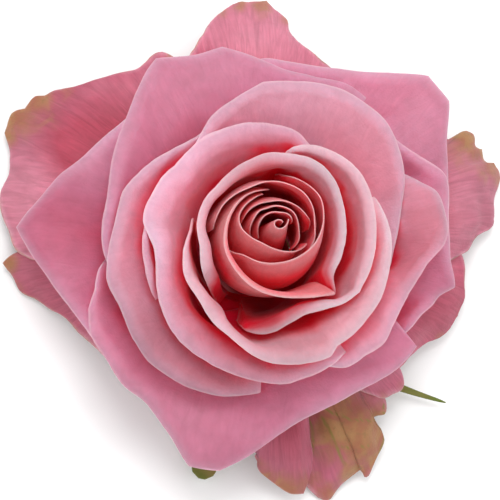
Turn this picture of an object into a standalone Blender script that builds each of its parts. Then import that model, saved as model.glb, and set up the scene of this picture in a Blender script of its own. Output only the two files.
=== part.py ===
"""Garden rose: one cut bloom that rests face up on its stem end and its lowest petals.

The rim of each petal was read by eye from the photo, in photo pixels, and is given a height.
Each rim point is set on its line of sight at that height, and a petal is spread from the
receptacle to its rim. Petals are taken from the heart outward and kept clear of each other.
Lengths are in millimetres until the meshes are made.
"""
import math

import bpy
import numpy as np

# Driving sizes, millimetres
BLOOM_WIDTH = 110.0
PETAL_THICKNESS = 0.62
PETAL_SPACING = 1.12
SEPAL_THICKNESS = 0.8
RECEPTACLE_RADIUS = 9.0
RECEPTACLE_HEIGHT = 13.0
SEAT_GAP = 0.3
CLAW_HALF_WIDTH = 2.0
HEART_HEIGHT = 55.5
STEM_RADIUS = 2.8
MM = 0.001

# The eye of the photo: how the picture is set over the bloom
PHOTO_PIXELS = 500.0
MM_PER_PIXEL = BLOOM_WIDTH / PHOTO_PIXELS
EYE_DISTANCE = 800.0
EYE_TILT = math.radians(14.0)
EYE_SIDE = (-0.55, -0.835)
EYE_TARGET = np.array([-2.0, -1.5, 28.0])
HEART_PIXEL = (279.0, 224.0)

# Rows along a petal as shares of its length from claw to fold, and rows over its curled margin
ROW_SHARES = np.array((0.0, 0.16, 0.34, 0.54, 0.74, 0.88, 1.0))
CURL_STEPS = 2

# Cells of the map that keeps layers apart
TURN_CELLS = 360
REACH_CELL = 0.4
REACH_CELLS = 190


def eye_frame():
    """The eye point with its right, up and forward directions."""
    lean = math.sin(EYE_TILT)
    offset = np.array([EYE_SIDE[0] * lean, EYE_SIDE[1] * lean, math.cos(EYE_TILT)])
    eye = EYE_TARGET + EYE_DISTANCE * offset / np.linalg.norm(offset)
    forward = (EYE_TARGET - eye) / EYE_DISTANCE
    right = np.cross(forward, np.array([0.0, 1.0, 0.0]))
    right /= np.linalg.norm(right)
    return eye, right, np.cross(right, forward), forward


EYE, EYE_RIGHT, EYE_UP, EYE_FORWARD = eye_frame()


def place(px, py, height):
    """The point of a given height on the line of sight through a photo pixel."""
    half = PHOTO_PIXELS / 2.0
    across = (px - half) * MM_PER_PIXEL
    along = (half - py) * MM_PER_PIXEL
    ray = EYE_FORWARD * EYE_DISTANCE + EYE_RIGHT * across + EYE_UP * along
    return EYE + ray * (height - EYE[2]) / ray[2]


HEART_TOP = place(HEART_PIXEL[0], HEART_PIXEL[1], HEART_HEIGHT)


def axis_at(height):
    """The bloom's own axis leans from the receptacle to the heart."""
    share = np.maximum(height - RECEPTACLE_HEIGHT, 0.0) / (HEART_HEIGHT - RECEPTACLE_HEIGHT)
    return HEART_TOP[0] * share, HEART_TOP[1] * share


def to_polar(point):
    """Turn, reach and rise of a point about the receptacle."""
    ax, ay = axis_at(point[2])
    dx, dy, dz = point[0] - ax, point[1] - ay, point[2] - RECEPTACLE_HEIGHT
    out = math.hypot(dx, dy)
    return math.atan2(dy, dx), math.hypot(out, dz), math.atan2(dz, out)


def to_world(turn, reach, rise):
    """Points from turn, reach and rise."""
    out = reach * np.cos(rise)
    height = RECEPTACLE_HEIGHT + reach * np.sin(rise)
    ax, ay = axis_at(height)
    return np.stack([ax + out * np.cos(turn), ay + out * np.sin(turn), height], axis=-1)


# Petals from the heart outward: name, rise at the claw and at mid height in degrees,
# radius and turn in degrees of the curled margin, and the rim as (photo x, photo y, height)
PETALS = [
    ("heart_petal_1", (66, 80), (80, 86), 0.0, 0, [
        (288.5, 219, 53.6), (287, 223.5, 54.2), (284, 227, 54.6), (280, 228.5, 54.9),
        (276.5, 227.5, 55.2), (274.5, 224.5, 55.4), (275.5, 221, 55.5), (278.5, 219.5, 55.5),
        (281.5, 220, 55.3), (283, 222, 55.1)]),
    ("heart_petal_2", (63, 63), (78, 78), 0.0, 0, [
        (263, 236, 46.5), (259, 229, 50.0), (260, 222.5, 52.4), (263.5, 217, 53.6),
        (268.5, 213.5, 54.2), (274, 212, 54.4), (280, 212.5, 54.4), (285.5, 213, 54.0),
        (290, 216, 53.0), (292, 221, 51.0)]),
    ("heart_petal_3", (56, 56), (74, 74), 0.0, 0, [
        (252, 236.5, 45.5), (251, 227, 50.2), (254.5, 217.5, 52.6), (260, 210.5, 53.7),
        (267.5, 208, 54.1), (274, 206, 54.3), (281, 206.2, 54.3), (287, 208.5, 54.1),
        (292.5, 213.5, 53.6), (296.5, 221, 52.5), (299, 230, 51.4), (299, 240, 49.6),
        (294, 248, 46.5)]),
    ("heart_petal_4", (49, 49), (69, 70), 0.0, 0, [
        (243.5, 227.5, 44.5), (245, 217.5, 49.6), (250.5, 209, 52.0), (258, 204.5, 53.2),
        (270, 201.8, 53.7), (280, 200.8, 53.7), (290, 202.8, 53.5), (299, 207.5, 52.8),
        (306, 214.5, 51.2), (310, 221, 48.6), (309, 229, 44.5)]),
    ("heart_petal_5", (47, 47), (66, 72), 0.0, 0, [
        (264, 196.5, 48.5), (253.5, 200, 51.2), (244, 206.5, 52.4), (239, 216.5, 53.0),
        (241.5, 228, 53.1), (250.5, 236.5, 53.1), (262, 242.5, 53.1), (272, 247.5, 53.0),
        (283, 251, 52.8), (293, 251.5, 52.3), (301, 249, 51.0), (307, 243.5, 47.6)]),
    ("centre_petal_1", (41, 41), (59, 69), 0.0, 0, [
        (219, 229, 46.5), (218, 217, 50.2), (223, 205, 51.6), (234, 195, 52.4),
        (250, 187, 52.8), (265, 181.5, 53.1), (281, 181.5, 53.2), (296, 187, 53.2),
        (306.5, 195.5, 52.9), (312.5, 208, 52.4), (313, 222, 51.9), (309.5, 237, 50.6),
        (302.5, 251, 47.8), (296, 262, 43.5)]),
    ("centre_petal_2", (42, 42), (60, 66), 0.0, 0, [
        (275, 174, 39.0), (286, 175.5, 45.0), (298, 179, 49.4), (311, 187, 51.4),
        (320.5, 198, 52.2), (324, 213, 52.5), (321, 229, 52.7), (313, 243, 52.8),
        (301, 255, 52.8), (287, 261, 52.8), (271, 263, 52.6), (256, 260.5, 51.8),
        (244, 255, 50.4), (236.5, 249.5, 47.6), (233, 241, 42.5)]),
    ("centre_petal_3", (40, 40), (62, 59), (0.0, 0.3, 0.7, 0.9, 0.9, 0.5), 110, [
        (269, 189.5, 48.5), (262, 191, 51.2), (252, 194, 52.2), (238, 201.5, 52.8),
        (229, 214, 52.9), (224, 231, 52.8), (224.5, 249, 52.5), (232, 265.5, 52.0),
        (245, 281.5, 51.5), (262, 292.5, 51.0), (283, 297.5, 50.3), (302, 298, 49.3),
        (320, 296.5, 47.8), (335, 294, 44.4)]),
    ("cup_petal_1", (34, 34), (56, 57),
     (0.0, 0.6, 1.4, 2.0, 2.0, 2.0, 2.0, 2.0, 2.0, 2.0, 2.0, 1.9, 1.7, 1.5, 1.4, 1.3, 1.3, 1.3, 1.3, 1.2,
      1.0, 0.6, 0.2, 0.0), 100, [
        (218, 305, 27.0), (213, 297, 34.0), (207, 284, 42.5), (201.5, 266, 48.0), (200, 246, 49.6),
        (204, 224, 50.2), (210, 203, 50.7), (218.5, 185.5, 51.0), (232, 170, 51.2),
        (249, 160, 51.3), (267, 153.5, 51.3), (284, 152.5, 51.2), (299, 154.5, 50.8),
        (313, 159.5, 50.4), (326, 168.5, 50.2), (336, 182, 50.2), (342.5, 200, 50.1),
        (346, 220, 49.9), (345.5, 240, 49.4), (341, 258, 48.6), (334, 273, 47.0), (326, 285, 44.5),
        (319, 293, 40.0), (313, 298, 34.0)]),
    ("cup_petal_2", (30, 30), (49, 49),
     (0.0, 0.6, 1.0, 1.2, 1.4, 1.5, 1.6, 1.6, 1.6, 1.6, 1.5, 1.0, 1.2, 1.8, 2.2, 2.2, 1.8, 1.1, 0.5, 0.1,
      0.0), 105, [
        (283, 155, 38.0), (288, 150, 44.5), (295.5, 146, 48.6), (308, 144.8, 49.7),
        (328, 149.5, 50.0), (344, 157.5, 50.0), (360, 172, 49.9), (371, 195, 49.6),
        (376, 222, 49.2), (375.5, 248, 48.7), (370, 270, 48.2), (358, 291, 47.6),
        (339, 298.5, 47.2), (324, 305, 46.8), (306, 314, 46.4), (289, 323.5, 46.0),
        (273, 332, 45.6), (259, 334, 44.8), (249, 332, 42.8), (241, 327, 38.5),
        (236, 320, 32.0)]),
    ("cup_petal_3", (27, 27), (49, 45), 2.6, 90, [
        (196, 219, 36.5), (190, 230, 42.5), (183, 252, 46.0), (185, 277, 46.5),
        (197, 299.5, 46.7), (213, 321, 46.8), (235, 339, 46.8), (259, 353, 46.8),
        (288, 364, 46.5), (312, 362, 46.0), (331, 356, 45.6), (338, 345.5, 45.4),
        (361, 326, 45.2), (380, 299, 45.0), (389, 270, 44.7), (391.5, 240, 44.0),
        (385, 215, 41.6), (374, 197, 37.0)]),
    ("inner_petal_1", (24, 22), (44, 41),
     (0.0, 2.0, 3.6, 4.4, 4.8, 4.8, 4.8, 4.8, 5.0, 5.2, 5.4, 5.4, 5.2, 5.0, 4.6, 4.2, 3.8, 3.6, 3.4, 3.4,
      3.4, 3.4, 3.0, 2.6, 1.4, 0.0), 70, [
        (324, 152, 35.0), (309, 143.5, 41.2), (295, 132, 44.0), (275, 126, 44.9),
        (250, 124, 45.1), (228, 129, 45.0), (206, 138, 44.8), (190, 152, 44.6),
        (177.5, 166.5, 44.3), (167, 176, 44.0), (157, 193, 43.6), (149.5, 209, 43.2),
        (147.5, 221, 42.9), (151.5, 233, 42.6), (156, 245, 42.3), (157.3, 258, 42.1),
        (158, 286, 42.1), (165, 315, 42.1), (180, 340, 42.0), (206, 360.5, 41.7),
        (238, 375.5, 41.3), (262, 382, 41.0), (284, 384.5, 40.5), (307, 377.5, 40.2),
        (331, 366, 39.3), (346, 352, 36.5)]),
    ("inner_petal_2", (20, 20), (39, 39),
     (0.0, 0.6, 1.6, 2.4, 2.6, 2.6, 2.6, 2.6, 2.6, 2.6, 2.6, 2.6, 2.4, 1.8, 1.2, 0.8, 0.5, 0.3, 0.0), 80, [
        (172, 186, 30.0), (178, 168, 36.5), (190, 153, 40.6), (201, 134, 41.9), (212, 116, 42.4),
        (234, 99, 42.5), (263, 81.5, 42.2), (290, 81, 42.0), (318, 83, 41.9), (345, 91.5, 41.7),
        (370, 107, 41.3), (392, 131, 40.8), (401, 155, 39.8), (404.5, 175, 38.8),
        (404, 190, 37.9), (402.5, 205, 37.2), (399.5, 225, 36.4), (394, 248, 35.2),
        (388, 268, 31.5)]),
    ("inner_petal_3", (17, 17), (35, 35),
     (0.0, 1.2, 2.2, 2.6, 2.6, 2.6, 2.6, 2.6, 2.6, 3.0, 3.6, 3.8, 3.4, 2.0, 0.0), 75, [
        (290, 366, 30.0), (318, 364, 34.0), (345, 361, 36.8), (366, 352, 38.2), (383, 344, 38.6),
        (394, 323, 38.8), (410.5, 291, 38.6), (428, 266, 38.2), (443.5, 243, 37.4),
        (448, 222, 36.8), (444.5, 205, 36.4), (437, 191, 35.8), (422, 183, 34.6),
        (407, 176, 32.0), (394, 170, 28.0)]),
    ("inner_petal_4", (15, 15), (33, 34), 1.6, 70, [
        (178, 190, 30.0), (160, 196, 36.5), (150, 210, 40.2), (144, 228, 41.0),
        (142.3, 240, 41.0), (142.6, 255, 40.7), (145, 270, 40.2), (149.5, 287, 38.6),
        (156, 300, 34.5)]),
    ("inner_petal_5", (9, 11), (29, 32), 2.6, 80, [
        (212, 126, 28.5), (191, 139.5, 33.4), (165, 153, 35.4), (141, 170.5, 36.1),
        (123, 192, 36.3), (115, 222, 36.2), (107.5, 258, 36.0), (108, 281, 36.0),
        (119, 305, 35.9), (131, 335, 35.7), (147, 360, 35.2), (171, 377.5, 35.2),
        (203, 392, 34.4), (232, 397, 32.4), (260, 392, 28.0)]),
    ("outer_petal_1", (5, 8), (21, 29), 3.4, 90, [
        (122, 285, 25.0), (104, 250, 29.0), (107, 199, 31.6), (115, 151, 32.6),
        (127, 112, 32.4), (140, 80, 31.4), (156, 58, 29.6), (177, 56, 30.0),
        (197, 53, 30.2), (222, 45.5, 30.0), (250, 55, 30.2), (282, 67.5, 30.6),
        (315, 76, 30.7), (342, 82, 29.8), (366, 98, 26.0)]),
    ("outer_petal_2", (1, 5), (14, 26), 3.2, 75, [
        (122, 246, 23.0), (99, 268, 27.4), (94, 290, 28.0), (88, 309, 27.8),
        (92, 336, 27.6), (107, 360, 27.2), (124, 387, 26.4), (143.5, 401.5, 25.8),
        (166, 431, 24.4), (190, 466, 21.8), (219, 471, 21.8), (252, 455, 23.0),
        (282, 434, 24.2), (310, 417, 25.0), (345, 398, 25.7), (378, 381, 26.0),
        (401, 367.5, 25.8), (417, 347, 25.0), (407, 334, 26.2), (396, 320, 26.4),
        (382, 300, 24.5)]),
    ("outer_petal_3", (5, 5), (22, 22), 3.2, 75, [
        (374, 118, 24.5), (400, 144, 29.2), (424, 161.5, 30.2), (447.5, 178, 29.6),
        (449, 205, 29.6), (450, 230, 29.4), (452, 258, 28.4), (456, 287, 25.8),
        (440, 298, 26.2), (422, 312, 26.2), (404, 332, 25.0), (388, 350, 21.0)]),
    ("outer_petal_4", (3, 3), (18, 18), 3.4, 75, [
        (214, 78, 19.0), (240, 68, 22.5), (262, 59, 25.2), (290, 60.5, 26.0), (320, 66, 26.2),
        (352, 71, 26.0), (390, 76, 25.4), (425, 79.5, 24.6), (449, 101, 23.8),
        (449, 126, 24.2), (448, 152, 24.6), (448.5, 180, 24.0), (446, 208, 21.5),
        (436, 232, 18.5)]),
    ("outer_petal_5", (-2, -4), (15, 8), 3.6, 75, [
        (150, 104, 17.5), (132, 116, 20.5), (114, 130, 22.6), (96, 143, 23.4), (80, 157.5, 23.6),
        (60, 175, 23.2), (38, 199, 21.8), (15, 227, 19.0), (26, 248, 20.0),
        (44, 273, 20.8), (64, 301, 21.3), (82, 325, 21.4), (97, 346, 20.4),
        (114, 366, 18.0), (132, 380, 15.5)]),
    ("guard_petal_1", (-7, -9), (7, 1), 1.2, 60, [
        (206, 84, 14.0), (186, 64, 15.4), (162, 53, 15.6), (134, 69, 14.6), (104, 77, 13.0),
        (72, 86, 10.4), (44, 96, 6.8), (34, 96.5, 5.6), (25.5, 110, 4.4), (13, 116, 3.4),
        (5, 133, 2.4), (10, 150, 1.8), (9, 172, 2.2), (2.5, 190, 2.6), (2.5, 205, 3.4),
        (8, 228, 5.2), (15, 247, 7.0), (34, 260, 9.0)]),
    ("guard_petal_2", (-6, -6), (6, 6), 1.0, 60, [
        (172, 84, 12.0), (184, 66, 13.2), (192, 53, 13.0), (200, 40, 11.6), (209, 26, 9.6),
        (220, 13, 7.4), (233, 4, 5.8), (248, 3.5, 5.2), (266, 2, 5.0), (275, 11.5, 6.4),
        (287, 20, 8.0), (292, 32, 10.0), (302, 44.5, 12.0), (316, 54, 13.2),
        (332, 68, 13.8), (350, 88, 13.6)]),
    ("guard_petal_3", (-12, -11), (-3, 1), 1.0, 50, [
        (66, 232, 10.0), (40, 246, 8.8), (20, 249.5, 6.8), (9, 256, 4.8), (3, 263, 3.0),
        (10, 275, 2.0), (20, 290, 1.2), (34, 297, 1.8), (52, 309, 3.2), (72, 325.5, 5.2),
        (92, 344.5, 7.4), (112, 360, 9.4), (136, 366, 11.0)]),
    ("guard_petal_4", (-5, -5), (7, 7), 1.0, 50, [
        (426, 126, 13.4), (442, 134, 12.8), (454, 140, 11.8), (460, 133, 10.2),
        (467, 131, 9.0), (475, 135, 7.8), (476, 146, 7.0), (483, 149, 5.6), (486, 160, 4.2),
        (494, 163, 2.8), (498, 172, 1.8), (495.5, 196, 1.4), (494, 222, 2.6), (484, 233, 5.0),
        (470, 247, 8.6), (456, 258, 11.2), (436, 268, 12.8)]),
    ("guard_petal_8", (-6, -6), (8, 8), 0.8, 60, [
        (346, 384, 13.6), (368, 393, 12.6), (383, 396.5, 11.8), (392, 391.5, 11.4),
        (401.5, 387, 11.2), (402.5, 378, 11.8), (400, 368, 12.4), (394, 350, 13.6),
        (386, 332, 14.6)]),
    ("guard_petal_5", (-8, -8), (5, 5), 1.0, 60, [
        (430, 226, 12.4), (450, 240, 11.0), (464, 256, 9.6), (464.5, 282, 7.4), (463, 300, 6.0),
        (459, 317, 4.8), (448, 331, 4.2), (439, 338, 4.2), (426, 343, 5.6),
        (411, 355, 7.4), (396, 370, 9.0), (378, 380, 10.4)]),
    ("guard_petal_6", (-7, -7), (6, 6), 1.0, 60, [
        (204, 424, 13.4), (224, 440, 12.8), (244, 448, 12.0), (257, 456, 11.0), (257, 467, 9.0),
        (265, 479, 7.2), (279, 487.5, 5.6), (292, 493, 4.6), (302, 492.5, 4.2), (305, 484, 4.8),
        (310, 470, 6.4), (313, 450, 8.8), (311, 426, 11.6), (306, 400, 13.6)]),
    ("guard_petal_7", (-11, -11), (1, 1), 0.8, 50, [
        (290, 436, 6.0), (298, 456, 4.2), (304, 472, 2.8), (313, 487, 1.8), (326.5, 498.5, 1.2),
        (338, 488.5, 1.6), (349, 481, 2.2), (360, 472, 3.2), (364, 477.5, 2.8),
        (374, 467, 3.6), (378, 455, 4.4), (384, 440, 5.2), (382, 428, 6.2), (375, 420.5, 6.8),
        (384, 414, 7.0), (384, 402, 7.8), (380, 386, 9.0), (372, 366, 10.4)]),
]

# The share of its length at which a petal reaches its full width, by its kind or its name
WIDE_FROM = {
    "heart": 0.85, "centre": 0.8, "cup": 0.58, "inner": 0.58, "outer": 0.5, "guard": 0.5,
    "inner_petal_2": 0.45, "inner_petal_3": 0.45, "outer_petal_3": 0.38, "outer_petal_4": 0.38,
    "guard_petal_2": 0.4, "guard_petal_4": 0.35, "guard_petal_5": 0.4, "guard_petal_6": 0.4,
}

# The first part of a later petal that wraps inside an earlier one is laid out ahead of it
LAID_AHEAD = {"centre_petal_1": ("centre_petal_3", 0.5)}


def smooth_step(value):
    """Smooth rise from 0 to 1."""
    value = np.clip(value, 0.0, 1.0)
    return value * value * (3.0 - 2.0 * value)


def through_three(first, middle, last, share):
    """A curve through three values at shares 0, 0.5 and 1."""
    return (first * 2.0 * (share - 0.5) * (share - 1.0) + middle * 4.0 * share * (1.0 - share)
            + last * 2.0 * share * (share - 0.5))


def curl_shift(angle, curl, turn):
    """How far a margin curled outward by a turn moves out and up."""
    return (curl * (np.sin(angle) - np.sin(angle - turn)),
            curl * (np.cos(angle - turn) - np.cos(angle)))


def margin_curls(curl, across):
    """Radius of the curled margin along the rim: given along it, or eased off at both ends."""
    if isinstance(curl, tuple):
        return np.interp(across, np.linspace(0.0, 1.0, len(curl)), curl)
    return curl * np.minimum(1.0, 4.0 * np.minimum(across, 1.0 - across))


def slope_angle(reach, rise):
    """Direction of the petal's run in its upright plane, at the fold."""
    out, up = reach * np.cos(rise), reach * np.sin(rise)
    return np.arctan2(up[:, -1] - up[:, -2], out[:, -1] - out[:, -2])


def spread(petal):
    """The petal's grid from claw to fold as turn, reach and rise."""
    name, claw_rise, belly_rise, curl, curl_turn, rim = petal
    polar = np.array([to_polar(place(*point)) for point in rim])
    turn_rim, reach_rim, rise_rim = np.unwrap(polar[:, 0]), polar[:, 1], polar[:, 2]
    count = len(rim)
    across = np.linspace(0.0, 1.0, count)
    share = ROW_SHARES
    start = RECEPTACLE_RADIUS + SEAT_GAP + PETAL_THICKNESS / 2.0
    low = np.radians(np.interp(across, (0, 1), claw_rise))[:, None]
    belly = np.radians(np.interp(across, (0, 1), belly_rise))[:, None]
    curls = margin_curls(curl, across)
    reach_end, rise_end = reach_rim, rise_rim
    for _ in range(3):
        reach = start + (reach_end[:, None] - start) * share
        rise = through_three(low, belly, rise_end[:, None], share[None, :])
        angle = slope_angle(reach, rise)
        shift_out, shift_up = curl_shift(angle, curls, math.radians(curl_turn))
        out = reach_rim * np.cos(rise_rim) - shift_out
        up = reach_rim * np.sin(rise_rim) - shift_up
        reach_end, rise_end = np.hypot(out, up), np.arctan2(up, out)
    middle = np.interp(0.5, across, turn_rim)
    claw_out = start * math.cos(float(low.mean()))
    half = min(CLAW_HALF_WIDTH / claw_out, math.radians(60.0))
    claw_turn = middle + half * np.sign(turn_rim[-1] - turn_rim[0]) * (2.0 * across - 1.0)
    wide_from = WIDE_FROM.get(name, WIDE_FROM[name.split("_")[0]])
    blend = smooth_step(share / wide_from)[None, :]
    if abs(turn_rim[-1] - turn_rim[0]) > math.radians(330.0):
        blend = np.ones_like(blend)
    turn = claw_turn[:, None] * (1.0 - blend) + turn_rim[:, None] * blend
    return {"name": name, "turn": turn, "reach": reach, "rise": rise,
            "curls": curls, "curl_turn": math.radians(curl_turn)}


def curled_rows(grid, steps):
    """Rows over the curled margin, past the fold, in reach and rise."""
    reach, rise = grid["reach"], grid["rise"]
    angle = slope_angle(reach, rise)
    rows = []
    for step in range(1, steps + 1):
        shift_out, shift_up = curl_shift(angle, grid["curls"], grid["curl_turn"] * step / steps)
        out = reach[:, -1] * np.cos(rise[:, -1]) + shift_out
        up = reach[:, -1] * np.sin(rise[:, -1]) + shift_up
        rows.append((np.hypot(out, up), np.arctan2(up, out)))
    return rows


def with_curl(grid, steps):
    """The grid with its curled margin added."""
    turn, reach, rise = grid["turn"], grid["reach"], grid["rise"]
    if grid["curls"].max() <= 0.0:
        return turn, reach, rise
    for row_reach, row_rise in curled_rows(grid, steps):
        turn = np.column_stack([turn, turn[:, -1]])
        reach = np.column_stack([reach, row_reach])
        rise = np.column_stack([rise, row_rise])
    return turn, reach, rise


def refine(values, across_times, along_times):
    """Bilinear refinement of a grid of values."""
    count, rows = values.shape
    fine_across = np.linspace(0, count - 1, (count - 1) * across_times + 1)
    fine_along = np.linspace(0, rows - 1, (rows - 1) * along_times + 1)
    first = np.array([np.interp(fine_across, np.arange(count), values[:, j]) for j in range(rows)]).T
    return np.array([np.interp(fine_along, np.arange(rows), row) for row in first])


def cells(turn, reach):
    """Cell numbers of the layer map."""
    column = np.floor(turn / (2.0 * math.pi) * TURN_CELLS).astype(int) % TURN_CELLS
    row = np.clip((reach / REACH_CELL).astype(int), 0, REACH_CELLS - 1)
    return column, row


def layer_map(grid):
    """Lowest rise of a petal in each cell, widened by one cell each way."""
    lowest = np.full((TURN_CELLS, REACH_CELLS), np.inf)
    turn, reach, rise = [refine(values, 30, 24) for values in with_curl(grid, 4)]
    np.minimum.at(lowest, cells(turn, reach), rise)
    wide = lowest.copy()
    for d_turn in (-1, 0, 1):
        for d_reach in (-1, 0, 1):
            moved = np.roll(lowest, d_turn, axis=0)
            if d_reach == 1:
                moved = np.column_stack([np.full(TURN_CELLS, np.inf), moved[:, :-1]])
            if d_reach == -1:
                moved = np.column_stack([moved[:, 1:], np.full(TURN_CELLS, np.inf)])
            wide = np.minimum(wide, moved)
    return wide


def hat_weights(times):
    """How strongly one grid line answers for each fine line up to its neighbours."""
    near = 1.0 - np.abs(np.arange(-times, times + 1)) / times
    return near / (near ** 2 + (1.0 - near) ** 2)


def cover(needed, count, rows, across_times, along_times):
    """Push of each grid point, just enough that every fine point between gets what it needs."""
    push = np.zeros((count, rows))
    across, along = hat_weights(across_times), hat_weights(along_times)
    for i in range(count):
        a0, a1 = max(0, (i - 1) * across_times), (i + 1) * across_times + 1
        part_across = across[a0 - (i - 1) * across_times:][:len(needed) - a0]
        for j in range(rows):
            b0, b1 = max(0, (j - 1) * along_times), (j + 1) * along_times + 1
            part_along = along[b0 - (j - 1) * along_times:][:needed.shape[1] - b0]
            push[i, j] = (needed[a0:a1, b0:b1] * part_across[:, None] * part_along[None, :]).max()
    return push


def keep_clear(grid, ceiling):
    """Lowers a petal where it would come too near the petals inside it."""
    across_times, along_times = 4, 8
    for _ in range(2):
        turn, reach, rise = grid["turn"], grid["reach"], grid["rise"]
        fine = [refine(values, across_times, along_times) for values in (turn, reach, rise)]
        steep = np.gradient(fine[2], axis=1) / np.maximum(np.gradient(fine[1], axis=1), 0.01)
        stretch = np.minimum(np.hypot(1.0, fine[1] * steep), 1.8)
        limit = ceiling[cells(fine[0], fine[1])] - PETAL_SPACING / fine[1] * stretch
        needed = np.maximum(fine[2] - limit, 0.0)
        needed[~np.isfinite(needed)] = 0.0
        grid["rise"] = rise - cover(needed, *turn.shape, across_times, along_times)
    return grid


def first_part(grid, share):
    """The first columns of a grid."""
    count = int(round(len(grid["turn"]) * share))
    cut = dict(grid)
    for key in ("turn", "reach", "rise", "curls"):
        cut[key] = grid[key][:count]
    return cut


def lay_out():
    """All petal grids, heart first, each kept clear of those inside it."""
    by_name = {petal[0]: petal for petal in PETALS}
    maps = {}
    grids = []
    for petal in PETALS:
        held = dict(maps)
        if petal[0] in LAID_AHEAD:
            later, share = LAID_AHEAD[petal[0]]
            ahead = keep_clear(spread(by_name[later]), lowest_of(maps))
            held[later] = layer_map(first_part(ahead, share))
        grid = keep_clear(spread(petal), lowest_of(held))
        later = [name for name, (first, _) in LAID_AHEAD.items() if first == petal[0]]
        if later:
            held = {name: value for name, value in maps.items() if name not in later}
            grid = keep_clear(spread(petal), lowest_of(held))
        maps[petal[0]] = layer_map(grid)
        grids.append(grid)
    return grids


def lowest_of(maps):
    """The lowest rise of all petals taken so far."""
    result = np.full((TURN_CELLS, REACH_CELLS), np.inf)
    for value in maps.values():
        result = np.minimum(result, value)
    return result


def grid_normals(points):
    """Unit normals of a grid of points."""
    normals = np.cross(np.gradient(points, axis=0), np.gradient(points, axis=1))
    length = np.linalg.norm(normals, axis=2, keepdims=True)
    return normals / np.maximum(length, 1e-9)


def plate(points, thickness):
    """Closed plate round a grid of points: vertices and triangles, both faces split alike."""
    count, rows = points.shape[:2]
    half = grid_normals(points) * thickness / 2.0
    vertices = np.vstack([(points + half).reshape(-1, 3), (points - half).reshape(-1, 3)])
    below = count * rows
    faces = []
    for i in range(count - 1):
        for j in range(rows - 1):
            a, b = i * rows + j, (i + 1) * rows + j
            faces += [(a, b, b + 1), (a, b + 1, a + 1)]
            faces += [(below + a, below + b + 1, below + b), (below + a, below + a + 1, below + b + 1)]
    around = [i * rows for i in range(count)]
    around += [(count - 1) * rows + j for j in range(1, rows)]
    around += [i * rows + rows - 1 for i in range(count - 2, -1, -1)]
    around += [j for j in range(rows - 2, 0, -1)]
    for first, second in zip(around, around[1:] + around[:1]):
        faces += [(second, first, below + first), (second, below + first, below + second)]
    return vertices, faces


def facing_out(vertices, faces):
    """The faces, turned over where the body would be inside out."""
    corners = vertices[np.array(faces)]
    volume = np.einsum("ij,ij->i", corners[:, 0], np.cross(corners[:, 1], corners[:, 2])).sum()
    return faces if volume > 0 else [tuple(reversed(face)) for face in faces]


def make_material(name, colour, roughness):
    """A plain skin material."""
    material = bpy.data.materials.new(name)
    material.use_nodes = True
    shader = material.node_tree.nodes["Principled BSDF"]
    shader.inputs["Base Color"].default_value = (*colour, 1.0)
    shader.inputs["Roughness"].default_value = roughness
    material.diffuse_color = (*colour, 1.0)
    return material


def make_object(name, vertices, faces, colour, roughness=0.6):
    """A named, smooth-shaded object in metres."""
    faces = facing_out(vertices, faces)
    mesh = bpy.data.meshes.new(name)
    mesh.from_pydata([tuple(vertex) for vertex in vertices * MM], [], faces)
    mesh.update()
    for polygon in mesh.polygons:
        polygon.use_smooth = True
    mesh.materials.append(make_material(name + "_skin", colour, roughness))
    thing = bpy.data.objects.new(name, mesh)
    bpy.context.scene.collection.objects.link(thing)
    return thing


PETAL_COLOURS = {
    "heart": (0.55, 0.08, 0.10),
    "centre": (0.62, 0.13, 0.15),
    "cup": (0.72, 0.28, 0.30),
    "inner": (0.70, 0.25, 0.30),
    "outer": (0.62, 0.21, 0.29),
    "guard": (0.50, 0.18, 0.20),
}
LEAF_GREEN = (0.16, 0.25, 0.05)


def make_petals():
    """Every petal as its own plate."""
    for grid in lay_out():
        turn, reach, rise = with_curl(grid, CURL_STEPS)
        points = to_world(turn, reach, rise)
        vertices, faces = plate(points, PETAL_THICKNESS)
        make_object(grid["name"], vertices, faces, PETAL_COLOURS[grid["name"].split("_")[0]])


HIP_SIDES = 24
HIP_PROFILE = [(STEM_RADIUS, 0.0), (2.7, 2.4), (3.5, 3.4), (5.4, 4.6), (6.2, 6.4), (6.0, 8.2),
               (6.3, 9.4)]
RECEPTACLE_FROM = -22.0
RECEPTACLE_RINGS = 7


def make_hip():
    """Stem end, hip and receptacle turned as one body."""
    profile = list(HIP_PROFILE)
    for ring in range(RECEPTACLE_RINGS):
        rise = math.radians(RECEPTACLE_FROM + (84.0 - RECEPTACLE_FROM) * ring / (RECEPTACLE_RINGS - 1))
        profile.append((RECEPTACLE_RADIUS * math.cos(rise),
                        RECEPTACLE_HEIGHT + RECEPTACLE_RADIUS * math.sin(rise)))
    vertices = [(0.0, 0.0, 0.0)]
    for radius, height in profile:
        for side in range(HIP_SIDES):
            angle = 2.0 * math.pi * side / HIP_SIDES
            vertices.append((radius * math.cos(angle), radius * math.sin(angle), height))
    vertices.append((0.0, 0.0, RECEPTACLE_HEIGHT + RECEPTACLE_RADIUS))
    top = len(vertices) - 1
    faces = []
    for side in range(HIP_SIDES):
        after = (side + 1) % HIP_SIDES
        faces.append((0, 1 + after, 1 + side))
        for ring in range(len(profile) - 1):
            a, b = 1 + ring * HIP_SIDES + side, 1 + ring * HIP_SIDES + after
            faces += [(a, b, b + HIP_SIDES), (a, b + HIP_SIDES, a + HIP_SIDES)]
        last = 1 + (len(profile) - 1) * HIP_SIDES
        faces.append((last + side, last + after, top))
    make_object("hip_and_stem_end", np.array(vertices), faces, LEAF_GREEN)


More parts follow.
